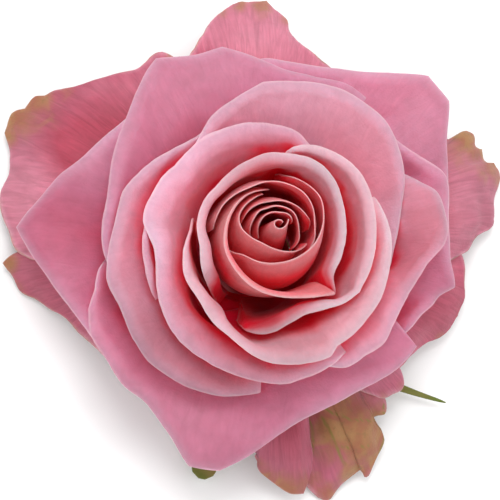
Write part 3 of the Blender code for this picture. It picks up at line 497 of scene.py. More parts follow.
def smooth_through(values, at, steps, corners=()):
    """A smooth line through rows of values at given places, with corners kept where asked."""
    gap = np.diff(at)
    slope = np.diff(values, axis=0) / gap[:, None]
    tangent = np.empty_like(values)
    tangent[1:-1] = ((slope[:-1] * gap[1:, None] + slope[1:] * gap[:-1, None])
                     / (gap[:-1] + gap[1:])[:, None])
    tangent[0], tangent[-1] = slope[0], slope[-1]
    pieces = []
    for i, count in enumerate(steps):
        f = (np.arange(count) / count)[:, None]
        leave = slope[i] if i in corners else tangent[i]
        arrive = slope[i] if i + 1 in corners else tangent[i + 1]
        pieces.append(values[i] * (1 + 2 * f) * (1 - f) ** 2 + leave * gap[i] * f * (1 - f) ** 2
                      + values[i + 1] * f * f * (3 - 2 * f) - arrive * gap[i] * f * f * (1 - f))
    pieces.append(values[-1:])
    return np.concatenate(pieces)


def fine_grid(grid):
    """The petal's grid and the radii of its margin, with smooth lines through them."""
    name = grid["name"]
    points = to_world(grid["turn"], grid["reach"], grid["rise"])
    rim = points[:, -1]
    gaps = np.maximum(np.linalg.norm(np.diff(rim, axis=0), axis=1), 0.2)
    at = np.concatenate([[0.0], np.cumsum(gaps)])
    across = steps_between(gaps, ACROSS_STEP)
    length = np.linalg.norm(rim - points[:, 0], axis=1).mean()
    along = steps_between(np.diff(ROW_SHARES) * length, ALONG_STEP)
    tips = TIPS.get(name, ())
    fine = {"name": name, "curl_turn": grid["curl_turn"]}
    share = smooth_through(ROW_SHARES[:, None], np.arange(float(len(ROW_SHARES))), along)[:, 0]
    keen = smooth_step((share - CORNERS_FROM) / (1.0 - CORNERS_FROM))[None, :]
    for key in ("turn", "reach", "rise"):
        rows = smooth_through(grid[key].T, ROW_SHARES, along).T
        soft = smooth_through(rows, at, across)
        sharp = smooth_through(rows, at, across, tips)
        fine[key] = soft * (1.0 - keen) + sharp * keen
    fine["curls"] = np.maximum(smooth_through(grid["curls"][:, None], at, across)[:, 0], 0.0)
    return fine


def arc(points, axis):
    """Length run along one way of a grid of points, from its start."""
    steps = np.linalg.norm(np.diff(points, axis=axis), axis=2)
    start = np.zeros_like(np.take(steps, [0], axis=axis))
    return np.concatenate([start, np.cumsum(steps, axis=axis)], axis=axis)


def grid_normals(points):
    """Unit normals of a grid of points."""
    normals = np.cross(np.gradient(points, axis=0), np.gradient(points, axis=1))
    length = np.linalg.norm(normals, axis=2, keepdims=True)
    return normals / np.maximum(length, 1e-9)


def noise_over(points, size, seed):
    """Smooth noise from -1 to 1 at points, with features of a given size."""
    shift = Vector((seed * 7.13, seed * 3.71, seed * 5.37))
    flat = points.reshape(-1, 3) / size
    return np.array([noise.noise(Vector(p) + shift) for p in flat]).reshape(points.shape[:2])


# Waves by kind: size and height of broad waves, of the rim's ripples, and of its ragged edge
WAVES = {
    "heart": ((9.0, 0.12), (4.0, 0.05), (1.6, 0.03)),
    "centre": ((10.0, 0.18), (5.0, 0.10), (1.8, 0.05)),
    "cup": ((11.0, 0.25), (5.0, 0.22), (1.8, 0.08)),
    "inner": ((13.0, 0.35), (6.0, 0.28), (2.0, 0.10)),
    "outer": ((15.0, 0.55), (7.0, 0.30), (2.2, 0.12)),
    "guard": ((11.0, 0.8), (5.0, 0.55), (1.6, 0.38)),
}


def petal_points(grid, seed):
    """Points of a petal with waves, ripples and its worn edge, and how far each is from the rim."""
    name = grid["name"]
    broad, ripple, ragged = WAVES[name.split("_")[0]]
    ragged, broad = RAGGED.get(name, ragged), CRUMPLED.get(name, broad)
    points = to_world(*with_curl(grid, CURL_STEPS))
    along, sides = arc(points, 1), arc(points, 0)
    from_rim = along[:, -1:] - along
    from_side = np.minimum(sides, sides[-1:] - sides)
    edge = np.minimum(from_rim, from_side + SIDE_SHARE * from_rim)
    normals = grid_normals(points)
    grown = smooth_step(along / np.maximum(along[:, -1:], 1e-6) * 1.6 - 0.3)
    wave = noise_over(points, broad[0], seed) * broad[1] * grown
    wave += (noise_over(points, ripple[0], seed + 40) * ripple[1]
             * np.exp(-from_rim / RIPPLE_DEPTH) * grown)
    outward = points[:, -1] - points[:, -2]
    outward /= np.maximum(np.linalg.norm(outward, axis=1, keepdims=True), 1e-6)
    rim = points[:, -1:]
    bite = (noise_over(rim, ragged[0], seed + 80)
            + FINE_BITE * noise_over(rim, ragged[0] * FINE_BITE_SIZE, seed + 120)) * ragged[1]
    moved = points + normals * wave[:, :, None]
    moved += outward[:, None, :] * (bite * np.exp(-(from_rim / BITE_DEPTH)))[:, :, None]
    return moved, edge


# How many ways up each place looks, how far they lean from straight up, how far away another petal
# still shades it and how far above the skin it looks from in millimetres, the flattest way that counts,
# and how many grid lines apart the places and the shading faces are
SKY_WAYS = 24
SKY_LEAN = math.radians(72)
SHADE_REACH = 40.0
SKY_LIFT = 0.45
SKY_FLATTEST = 0.12
PLACES_APART = 3
FACES_APART = 2


def sky_ways():
    """Ways up to the sky, spread evenly over a cone."""
    ways = []
    for k in range(SKY_WAYS):
        up = 1.0 - (k + 0.5) / SKY_WAYS * (1.0 - math.cos(SKY_LEAN))
        turn = k * math.pi * (3.0 - math.sqrt(5.0))
        out = math.sqrt(1.0 - up * up)
        ways.append((out * math.cos(turn), out * math.sin(turn), up))
    return np.array(ways)


def every(count, step):
    """Every so many of a row of places, with the last one."""
    return np.unique(np.append(np.arange(0, count, step), count - 1))


def shade_tree(sheets):
    """All petal sheets as one set of faces that rays can meet."""
    vertices, faces = [], []
    for points in sheets:
        sheet = points[every(points.shape[0], FACES_APART)][:, every(points.shape[1], FACES_APART)]
        columns, rows = sheet.shape[:2]
        index = len(vertices) + np.arange(columns * rows).reshape(columns, rows)
        vertices.extend(sheet.reshape(-1, 3).tolist())
        corners = (index[:-1, :-1], index[1:, :-1], index[1:, 1:], index[:-1, 1:])
        faces.extend(np.stack(corners, axis=-1).reshape(-1, 4).tolist())
    return BVHTree.FromPolygons(vertices, faces)


# This share of hidden sky is the mask for the painted shade and painted light on the petals
def sheltered(points, tree):
    """How little sky each place of a petal sees from its upper side, from 0 to 1."""
    i, j = [every(count, PLACES_APART) for count in points.shape[:2]]
    normals = grid_normals(points)
    normals *= np.where(normals[:, :, 2:] < 0.0, -1.0, 1.0)
    ways = sky_ways()
    share = np.zeros((len(i), len(j)))
    for a, column in enumerate(i):
        for b, row in enumerate(j):
            normal = normals[column, row]
            start = Vector(points[column, row] + normal * SKY_LIFT)
            seen = ways[ways @ normal > SKY_FLATTEST]
            met = sum(tree.ray_cast(start, Vector(way), SHADE_REACH)[0] is not None for way in seen)
            share[a, b] = met / max(len(seen), 1)
    across = np.array([np.interp(np.arange(points.shape[0]), i, line) for line in share.T])
    return np.array([np.interp(np.arange(points.shape[1]), j, line) for line in across.T])


def new_grid(name, columns, rows):
    """A flat grid with a map over it, and the place of each of its points in it."""
    bpy.ops.mesh.primitive_grid_add(x_subdivisions=columns - 1, y_subdivisions=rows - 1, size=1.0)
    piece = bpy.context.object
    piece.name = piece.data.name = name
    flat = np.empty(len(piece.data.vertices) * 3)
    piece.data.vertices.foreach_get("co", flat)
    flat = flat.reshape(-1, 3)
    i = np.rint((flat[:, 0] + 0.5) * (columns - 1)).astype(int)
    j = np.rint((flat[:, 1] + 0.5) * (rows - 1)).astype(int)
    return piece, i, j


def set_places(piece, points):
    """Moves the points of a piece to places in millimetres."""
    piece.data.vertices.foreach_set("co", (points * MM).astype(np.float32).ravel())
    piece.data.update()


def keep_value(piece, name, values):
    """A number at each point of a piece, for its material to read."""
    attribute = piece.data.attributes.new(name, "FLOAT", "POINT")
    attribute.data.foreach_set("value", values.astype(np.float32))


def select(piece):
    """Makes one piece the only one selected, and the active one."""
    bpy.ops.object.select_all(action="DESELECT")
    piece.select_set(True)
    bpy.context.view_layer.objects.active = piece


def flip(piece):
    """Turns the faces of a piece over."""
    select(piece)
    bpy.ops.object.mode_set(mode="EDIT")
    bpy.ops.mesh.select_all(action="SELECT")
    bpy.ops.mesh.flip_normals()
    bpy.ops.object.mode_set(mode="OBJECT")


def apply_modifier(piece, kind, **settings):
    """Adds a modifier to a piece and applies it."""
    select(piece)
    bpy.ops.object.modifier_add(type=kind)
    modifier = piece.modifiers[-1]
    for key, value in settings.items():
        setattr(modifier, key, value)
    bpy.ops.object.modifier_apply(modifier=modifier.name)


def smooth_shaded(piece, degrees=50.0):
    """Smooth shading with its sharp edges kept."""
    select(piece)
    bpy.ops.object.shade_smooth_by_angle(angle=math.radians(degrees))


# How many steps of thickness a skin has, and its share of the full thickness where it is thinnest
SKIN_LEVELS = 10
THINNEST_SHARE = 0.35


def add_skin(piece, thickness, thin_points):
    """Turns a bent sheet into a thin solid, thinner towards its edge."""
    group = piece.vertex_groups.new(name="thick")
    levels = np.round(thin_points * SKIN_LEVELS).astype(int)
    for level in np.unique(levels).tolist():
        group.add(np.nonzero(levels == level)[0].tolist(), level / SKIN_LEVELS, "REPLACE")
    apply_modifier(piece, "SOLIDIFY", thickness=thickness * MM, offset=0.0, use_even_offset=False,
                   use_rim=True, vertex_group="thick", thickness_vertex_group=THINNEST_SHARE,
                   material_offset=1, material_offset_rim=2)
    piece.vertex_groups.clear()


# How far up, against how far in, the upper side of a petal looks in millimetres
UPPER_RISE = 12.0


def upper_side(points):
    """Whether the grid's own faces look up and inward."""
    at = points.shape[0] // 2, points.shape[1] // 2
    ax, ay = axis_at(points[at][2])
    inward = np.array([ax - points[at][0], ay - points[at][1], UPPER_RISE])
    return float(grid_normals(points)[at] @ inward) > 0.0


# How worn a weathered petal is at its very edge, how wide that is, and how keenly its stains fade
EDGE_WORN = 0.75
EDGE_WORN_WIDTH = 0.7
STAIN_KEENNESS = 1.6

# Worn and stained places of each weathered petal: photo x and y, how wide in millimetres, how strong
STAINS = {
    "guard_petal_1": [(14, 112, 9, 1), (34, 98, 7, 0.9), (40, 118, 6, 0.5), (66, 92, 4, 0.5),
        (8, 135, 5, 0.8), (175, 55, 3, 0.7)],
    "guard_petal_2": [(240, 4, 3, 0.7), (262, 5, 4, 0.8), (222, 12, 2.5, 0.5), (286, 20, 2.5, 0.6)],
    "guard_petal_3": [(6, 262, 4, 0.9), (16, 286, 3, 0.5)],
    "guard_petal_4": [(464, 134, 6, 1), (478, 150, 5, 0.9), (490, 165, 5, 0.8), (455, 150, 6, 0.6),
        (497, 180, 3, 0.6), (470, 160, 6, 0.35)],
    "guard_petal_5": [(440, 337, 2.5, 0.6), (459, 317, 2, 0.4)],
    "guard_petal_6": [(262, 478, 5, 0.8), (285, 491, 6, 0.9), (302, 485, 5, 0.6), (257, 462, 3, 0.6)],
    "guard_petal_7": [(345, 425, 12, 1), (372, 430, 9, 1), (320, 440, 8, 0.6), (378, 455, 7, 1),
        (360, 440, 9, 1), (327, 495, 5, 0.8), (356, 474, 6, 0.9), (340, 400, 7, 0.8), (312, 480, 4, 0.7)],
    "guard_petal_8": [(402, 385, 2.5, 0.5), (384, 397, 3, 0.5)],
}

# Green veins of a weathered petal: half width in millimetres, and photo places along the vein
GREEN_VEINS = {"guard_petal_7": [
    (0.35, ((309, 419), (313, 434), (313, 449), (309, 464), (307, 480))),
    (0.4, ((322, 416), (330, 430), (336, 446), (345, 465))),
    (0.3, ((318, 400), (330, 412), (352, 420), (374, 421))),
    (0.3, ((383, 404), (384, 420), (384, 440), (378, 456))),
    (0.25, ((336, 446), (352, 448), (368, 446))),
]}

# Places that are deeper in tone, or paler where the strength is below zero, listed like the worn ones:
# partly the petals' own blush, partly painted shade in hollows such as the cup's cavity and painted light
# on petals lit through from behind
BLUSHES_AND_PAINTED_LIGHT = {
    "cup_petal_2": [(272, 320, 3.5, 0.3), (300, 309, 4, 0.2), (228, 302, 6, 1.8), (250, 304, 4.5, 1.5),
        (272, 300, 4, 0.8), (298, 298, 3.5, 0.4)],
    "guard_petal_1": [(105, 125, 12, 0.6), (60, 140, 9, 0.4), (20, 190, 12, -0.5)],
    "guard_petal_5": [(435, 310, 14, 0.6)],
    "guard_petal_3": [(30, 290, 14, 0.4)],
    "guard_petal_6": [(280, 455, 14, 0.4)],
    "guard_petal_4": [(455, 190, 9, -0.4)],
    "guard_petal_2": [(262, 40, 9, -0.4)],
    "centre_petal_3": [(232, 236, 8, -0.7), (252, 286, 6, -0.5), (335, 292, 8, -0.6), (212, 262, 7, 0.6)],
    "cup_petal_1": [(222, 299, 4.5, 1), (320, 293, 5, 1), (262, 182, 5, 0.5)],
    "inner_petal_1": [(188, 158, 9.5, -0.9), (218, 188, 4.5, 0.5), (163, 230, 6, -0.4),
        (250, 372, 12, 0.1)],
    "inner_petal_2": [(300, 110, 16, -0.9)],
    "inner_petal_5": [(150, 298, 7, -0.3), (212, 385, 14, 0.1)],
    "inner_petal_3": [(420, 230, 9, 0.12)],
    "outer_petal_4": [(400, 120, 13, -0.7)],
    "outer_petal_5": [(72, 220, 10, 0.3), (95, 160, 8, -0.5)],
    "outer_petal_2": [(180, 430, 14, -0.3)],
    "outer_petal_1": [(225, 65, 12, -0.35), (150, 95, 12, -0.25)],
}

# Places painted darker as painted shade, or brighter as painted light where the strength is below zero
PAINTED_LIGHT_SPOTS = {
    "cup_petal_2": [(265, 322, 5, 0.9), (292, 308, 5, 0.6)],
    "inner_petal_5": [(145, 335, 9, 0.7), (208, 388, 14, 0.9)],
    "inner_petal_1": [(250, 372, 14, 0.9), (172, 230, 11, -1), (205, 172, 13, -0.8)],
    "cup_petal_3": [(290, 355, 9, 0.5)],
    "inner_petal_3": [(422, 240, 12, 0.6)],
    "outer_petal_2": [(170, 420, 30, 0.25)],
    "outer_petal_5": [(72, 225, 14, 0.35)],
    "outer_petal_3": [(425, 290, 14, 0.3)],
    "cup_petal_1": [(248, 163, 8, 0.5)],
    "outer_petal_4": [(432, 160, 8, 0.4)],
    "guard_petal_2": [(255, 30, 20, -0.6)],
    "guard_petal_1": [(40, 200, 14, -0.3)],
    "guard_petal_6": [(270, 470, 20, 0.3)],
    "guard_petal_7": [(345, 440, 20, 0.3)],
    "guard_petal_3": [(40, 290, 20, 0.3)],
}


def on_photo(points):
    """Where points in millimetres fall in the photo, in its pixels."""
    away = points - EYE
    depth = away @ EYE_FORWARD
    half = PHOTO_PIXELS / 2.0
    across = away @ EYE_RIGHT / depth * EYE_DISTANCE / MM_PER_PIXEL + half
    down = half - away @ EYE_UP / depth * EYE_DISTANCE / MM_PER_PIXEL
    return np.stack([across, down], axis=-1)


def away_from(seen, place_in_photo):
    """How far points seen in the photo are from places in it, in millimetres of the bloom."""
    return np.linalg.norm(seen - place_in_photo, axis=1) * MM_PER_PIXEL


def spotted(name, points, table):
    """How strongly the places that a table lists show at each point of a petal."""
    seen = on_photo(points)
    strength = np.zeros(len(points))
    for x, y, wide, strong in table.get(name, ()):
        strength += strong * np.exp(-(away_from(seen, (x, y)) / wide) ** 2)
    return np.clip(strength, -1.0, 2.0)


def stained(name, points, edge):
    """How worn each point of a weathered petal is, from 0 to 1: at its edge and in its stains."""
    seen = on_photo(points)
    worn = EDGE_WORN * np.exp(-edge / EDGE_WORN_WIDTH)
    for x, y, wide, strong in STAINS.get(name, ()):
        worn = np.maximum(worn, strong * np.exp(-(away_from(seen, (x, y)) / wide) ** 2 * STAIN_KEENNESS))
    return worn


def veined(name, points):
    """How strongly a green vein shows at each point, from 0 to 1."""
    seen = on_photo(points)
    green = np.zeros(len(points))
    for wide, path in GREEN_VEINS.get(name, ()):
        path = np.array(path, float)
        for a, run in zip(path, np.diff(path, axis=0)):
            share = np.clip((seen - a) @ run / (run @ run), 0.0, 1.0)
            green = np.maximum(green, np.exp(-(away_from(seen, a + share[:, None] * run) / wide) ** 2))
    return green


# Materials

# The part of a noise between 0 and 1 where nearly all of it lies
NOISE_SPAN = (0.3, 0.7)


def tone(red, green, blue):
    """A colour from eight-bit screen values."""
    return tuple((v / 255 / 12.92 if v <= 10 else ((v / 255 + 0.055) / 1.055) ** 2.4)
                 for v in (red, green, blue)) + (1.0,)


class Graph:
    """A material's nodes, added one by one and joined as they are added."""

    def __init__(self, name):
        self.material = bpy.data.materials.new(name)
        self.material.use_nodes = True
        self.tree = self.material.node_tree
        self.shader = self.tree.nodes["Principled BSDF"]

    def add(self, kind, options=None, **inputs):
        """A node with its options and inputs set; an input may be a socket of another node."""
        node = self.tree.nodes.new(kind)
        for key, value in (options or {}).items():
            setattr(node, key, value)
        for key, value in inputs.items():
            numbered = key[0] == "i" and key[1:].isdigit()
            self.put(node.inputs[int(key[1:]) if numbered else key], value)
        return node

    def put(self, socket, value):
        """Joins a socket to another, or sets its value."""
        if isinstance(value, bpy.types.NodeSocket):
            self.tree.links.new(value, socket)
        else:
            socket.default_value = value

    def finish(self, inputs):
        """Sets or joins inputs of the surface shader by their names."""
        for name, value in inputs.items():
            self.put(self.shader.inputs[name], value)

    def map(self, value, low, high, to_low=0.0, to_high=1.0, smooth=True):
        """A value taken from one range to another."""
        kind = {"interpolation_type": "SMOOTHSTEP" if smooth else "LINEAR"}
        return self.add("ShaderNodeMapRange", kind, i0=value, i1=low, i2=high, i3=to_low,
                        i4=to_high).outputs[0]

    def vary(self, texture, low, high):
        """A number that runs evenly between two with a noise."""
        return self.map(texture, *NOISE_SPAN, low, high, False)

    def math(self, operation, first, second=0.0):
        """One step of arithmetic."""
        return self.add("ShaderNodeMath", {"operation": operation}, i0=first, i1=second).outputs[0]

    def mix(self, share, first, second, blend="MIX"):
        """Two colours mixed."""
        node = self.add("ShaderNodeMix", {"data_type": "RGBA", "blend_type": blend})
        for number, value in ((0, share), (6, first), (7, second)):
            self.put(node.inputs[number], value)
        return node.outputs[2]

    def noise(self, where, scale, detail=2.0, distortion=0.0):
        """Noise from 0 to 1 over coordinates."""
        return self.add("ShaderNodeTexNoise", None, Vector=where, Scale=scale, Detail=detail,
                        Distortion=distortion).outputs[0]

    def value(self, name):
        """A number that the piece keeps at each of its points."""
        return self.add("ShaderNodeAttribute", {"attribute_name": name}).outputs["Fac"]


# Painted light and shade from how sheltered a place is: the brightness a fully open place is painted at,
# below that of sheltered places, which are painted brighter as if lit through the petals;
# and how sheltered a place is where painted shade begins to deepen its skin and where it is deepest
PAINTED_OPEN_BRIGHTNESS = 0.82
PAINTED_SHADE_FROM = 0.38
PAINTED_SHADE_TO = 0.85


def petal_skin(name, main, rim, deep, rim_width, deep_from, deep_to, painted_shade_depth=0.0, streak=0.05,
               glow=0.6):
    """Velvety petal skin: paler at its rim, more deeply coloured away from it, finely streaked; its pale
    rim, deep colour and blushes are partly painted light and shade, and its thin bright rim line and the
    changes by shelter and at listed spots are painted light and shade.
    """
    g = Graph(name)
    main, rim, deep = tone(*main), tone(*rim), tone(*deep)
    place_in = g.add("ShaderNodeTexCoord").outputs
    over = g.add("ShaderNodeMapping", None, Vector=place_in["UV"])
    over.inputs["Scale"].default_value = (46.0, 6.0, 1.0)
    streaks = g.noise(over.outputs[0], 1.0, 4.0, 1.4)
    mottle = g.noise(place_in["Object"], 260.0, 4.0, 0.4)
    cloud = g.noise(place_in["Object"], 75.0, 2.0)
    grain = g.noise(place_in["Object"], 2400.0, 2.0)
    # Deeper towards crimson away from the rim: partly the petal's own deeper base, partly painted shade in
    # the depths of the cup
    from_rim = g.value("from_rim")
    deep_at = g.math("ADD", from_rim, g.vary(cloud, -0.12 * deep_to, 0.12 * deep_to))
    blush_and_painted_light = g.value("blush_and_painted_light")
    # Painted shade: the colour also deepens towards crimson where a place sees little sky
    depth = g.math("MAXIMUM", g.map(deep_at, deep_from, deep_to),
                   g.map(g.value("sheltered"), PAINTED_SHADE_FROM, PAINTED_SHADE_TO, 0.0, painted_shade_depth))
    # Listed blushes add to the depth: partly own blush, partly painted light and shade
    deepened = g.math("ADD", depth, blush_and_painted_light)
    colour = g.mix(deepened, main, deep)
    # Strong marks go to a dark crimson: painted shade in the deepest cavity
    colour = g.mix(g.map(blush_and_painted_light, 1.0, 1.8), colour, tone(165, 3, 20))
    # Paler towards the rim: partly the petal's own paler margin, partly painted light on the rolled margin
    rim_at = g.math("ADD", from_rim, g.vary(mottle, -0.3, 0.3))
    colour = g.mix(g.math("SUBTRACT", g.map(rim_at, 0.0, rim_width, 0.9, 0.0), blush_and_painted_light), colour, rim)
    cloudy = g.math("MULTIPLY", g.map(cloud, 0.45, 0.7, 0.0, 0.22), g.map(deepened, 0.2, 1.0, 1.0, 0.0))
    colour = g.mix(cloudy, colour, rim)
    # Painted highlight: a thin bright line right at the rim
    colour = g.mix(g.map(rim_at, 0.1, 0.7, 0.3, 0.0), colour, tone(234, 192, 196))
    shade = g.math("MULTIPLY", g.vary(streaks, 1.0 - streak, 1.0 + streak),
                   g.vary(mottle, 0.92, 1.05))
    # Painted light: sheltered places are painted brighter and open ones darker, standing in for light
    # through the petals
    shade = g.math("MULTIPLY", shade, g.map(g.value("sheltered"), 0.0, 0.55, PAINTED_OPEN_BRIGHTNESS, 1.2, False))
    # Painted light and shade at listed places: darker where the strength is above zero, brighter below it
    shade = g.math("MULTIPLY", shade, g.map(g.value("painted_light_spots"), -1.0, 1.0, 1.35, 0.65, False))
    grey = g.add("ShaderNodeCombineXYZ", None, X=shade, Y=shade, Z=shade).outputs[0]
    colour = g.mix(1.0, colour, grey, "MULTIPLY")
    relief = g.math("ADD", g.math("MULTIPLY", streaks, 0.35),
                    g.math("ADD", g.math("MULTIPLY", grain, 0.25), g.math("MULTIPLY", mottle, 0.8)))
    bump = g.add("ShaderNodeBump", None, Strength=0.7, Distance=0.0004, Height=relief)
    g.finish({"Base Color": colour, "Roughness": g.vary(mottle, 0.52, 0.64),
              "Normal": bump.outputs[0], "Sheen Weight": 0.12, "Sheen Roughness": 0.4,
              "Sheen Tint": tone(255, 215, 225), "Specular IOR Level": 0.2, "Subsurface Weight": glow,
              "Subsurface Radius": (1.0, 0.36, 0.42), "Subsurface Scale": 0.0025})
    return g, colour, place_in


def weathered_skin(name, main, rim, deep):
    """Petal skin that has aged: tan and olive towards its worn places, with green veins."""
    # The weathered petals also get painted shade where they are sheltered
    g, colour, place_in = petal_skin(name, main, rim, deep, 2.0, 6.0, 30.0, 0.5, 0.15, 0.3)
    blotch = g.noise(place_in["Object"], 190.0, 4.0, 0.8)
    speck = g.noise(place_in["Object"], 900.0, 3.0)
    worn = g.math("ADD", g.value("worn"), g.vary(blotch, -0.14, 0.14))
    tan = g.mix(g.map(blotch, 0.35, 0.65), tone(142, 92, 62), tone(150, 114, 70))
    tan = g.mix(g.map(speck, 0.5, 0.75, 0.0, 0.5), tan, tone(118, 98, 54))
    colour = g.mix(g.map(worn, 0.15, 0.95, 0.0, 0.9), colour, tan)
    colour = g.mix(g.map(g.value("green_vein"), 0.2, 1.0, 0.0, 0.8), colour, tone(116, 112, 52))
    g.finish({"Base Color": colour})
    return g.material


# Face and back of each kind of petal: main, rim and deep tones, how wide the pale rim is in millimetres,
# from where to where it grows deep, and how strongly painted shade deepens sheltered places; the deep tone
# is partly the petal's own colour, partly painted shade of the cup's depths
SKINS = {
    "heart": (((228, 106, 112), (226, 140, 140), (252, 48, 68), 0.6, 1.5, 9.0, 0.9),
              ((226, 128, 132), (226, 142, 142), (230, 36, 58), 0.8, 3.5, 14.0, 0.5)),
    "centre": (((228, 108, 118), (226, 144, 146), (244, 28, 52), 0.9, 2.5, 10.5, 1.0),
               ((222, 122, 128), (224, 148, 148), (226, 26, 50), 1.2, 3.0, 13.0, 0.5)),
    "cup": (((208, 152, 164), (210, 178, 188), (220, 10, 44), 3.6, 5.5, 13.0, 1.0),
            ((206, 106, 118), (212, 154, 164), (216, 8, 38), 1.8, 2.5, 9.0, 0.6)),
    "inner": (((202, 138, 156), (200, 154, 172), (234, 34, 68), 4.0, 11.0, 25.0, 1.0),
              ((196, 110, 128), (204, 146, 162), (204, 36, 62), 2.0, 3.0, 14.0, 0.3)),
    "outer": (((182, 112, 138), (198, 140, 162), (190, 50, 82), 4.5, 9.0, 34.0, 0.9),
              ((176, 104, 128), (188, 130, 152), (176, 54, 78), 2.5, 6.0, 30.0, 0.3)),
}
# Main, rim and deep tones of the weathered petals: face, back and edge
WEATHERED = (((174, 96, 116), (194, 130, 146), (160, 66, 84)),
             ((176, 98, 116), (190, 122, 138), (160, 70, 82)),
             ((174, 108, 102), (178, 116, 98), (168, 88, 88)))
SIDES = ("_petal_face", "_petal_back", "_petal_edge")


def petal_materials():
    """Face, back and edge material of each kind."""
    made = {}
    for kind, (face, back) in SKINS.items():
        # The edge of each skin is coloured from the pale rim tone: a painted highlight along the thin cut
        # edge
        looks = zip(SIDES, (face, back, (face[1], face[1], face[2], 0.6, 0.5, 6.0)))
        made[kind] = [petal_skin(kind + side, *look)[0].material for side, look in looks]
    made["guard"] = [weathered_skin("guard" + side, *look) for side, look in zip(SIDES, WEATHERED)]
    return made


def make_petals():
    """Every petal, bent, skinned and coloured."""
    materials = petal_materials()
    sheets = []
    for number, grid in enumerate(lay_out()):
        fine = fine_grid(grid)
        sheets.append((fine, *petal_points(fine, number + 1)))
    tree = shade_tree([points for _, points, _ in sheets])
    for grid, points, edge in sheets:
        name = grid["name"]
        kind = name.split("_")[0]
        columns, rows = points.shape[:2]
        piece, i, j = new_grid(name + "_skin", columns, rows)
        flat = points[i, j]
        set_places(piece, flat)
        keep_value(piece, "from_rim", edge[i, j])
        keep_value(piece, "sheltered", sheltered(points, tree)[i, j])
        keep_value(piece, "blush_and_painted_light", spotted(name, flat, BLUSHES_AND_PAINTED_LIGHT))
        keep_value(piece, "painted_light_spots", spotted(name, flat, PAINTED_LIGHT_SPOTS))
        if kind == "guard":
            keep_value(piece, "worn", stained(name, flat, edge[i, j]))
            keep_value(piece, "green_vein", veined(name, flat))
        for material in materials[kind]:
            piece.data.materials.append(material)
        if not upper_side(points):
            flip(piece)
        add_skin(piece, PETAL_THICKNESS, np.clip(0.15 + edge[i, j] / 3.0, 0.0, 1.0))
        smooth_shaded(piece)
        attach(piece, "root")
        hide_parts(name)


# Hip, receptacle and stem end

def leaf_skin(name, main, pale, dark, rough=0.5):
    """Waxy green skin with fine streaks along it."""
    g = Graph(name)
    where = g.add("ShaderNodeTexCoord").outputs["Object"]
    mottle = g.noise(where, 300.0, 3.0)
    cloud = g.noise(where, 90.0, 2.0)
    grain = g.noise(where, 1800.0, 2.0)
    colour = g.mix(g.map(cloud, 0.35, 0.65), tone(*main), tone(*pale))
    colour = g.mix(g.map(mottle, 0.5, 0.75, 0.0, 0.6), colour, tone(*dark))
    bump = g.add("ShaderNodeBump", None, Strength=0.5, Distance=0.00015,
                 Height=g.math("ADD", mottle, g.math("MULTIPLY", grain, 0.5)))
    roughness = g.vary(mottle, rough - 0.06, rough + 0.08)
    g.finish({"Base Color": colour, "Roughness": roughness, "Normal": bump.outputs[0],
              "Specular IOR Level": 0.4, "Subsurface Weight": 0.12,
              "Subsurface Radius": (0.5, 1.0, 0.3), "Subsurface Scale": 0.0008})
    return g.material


def plain_skin(name, first, second, rough, scale, detail, low, high):
    """A plain skin that varies softly between two tones."""
    g = Graph(name)
    cloud = g.noise(g.add("ShaderNodeTexCoord").outputs["Object"], scale, detail)
    g.finish({"Base Color": g.mix(g.map(cloud, low, high), tone(*first), tone(*second)),
              "Roughness": rough})
    return g.material


HIP_SIDES = 48
CUT_RADIUS = STEM_RADIUS * 0.93
# Radius and height up the stem end and the hip, above the bevel of the cut
HIP_STEPS = [(STEM_RADIUS, 0.12), (2.76, 0.9), (2.7, 2.4), (2.95, 2.9), (3.5, 3.4), (4.6, 3.95),
             (5.4, 4.6), (5.95, 5.4), (6.2, 6.4), (6.15, 7.3), (6.0, 8.2), (6.3, 9.4)]
# Rise in degrees of the receptacle's lowest and highest ring, and how many it has
RECEPTACLE_RISES = (-22.0, 84.0)
RECEPTACLE_RINGS = 12
# Where the green of the hip ends, and up to where the cut face reaches
HIP_TOP = 8.6
CUT_TOP = 0.05


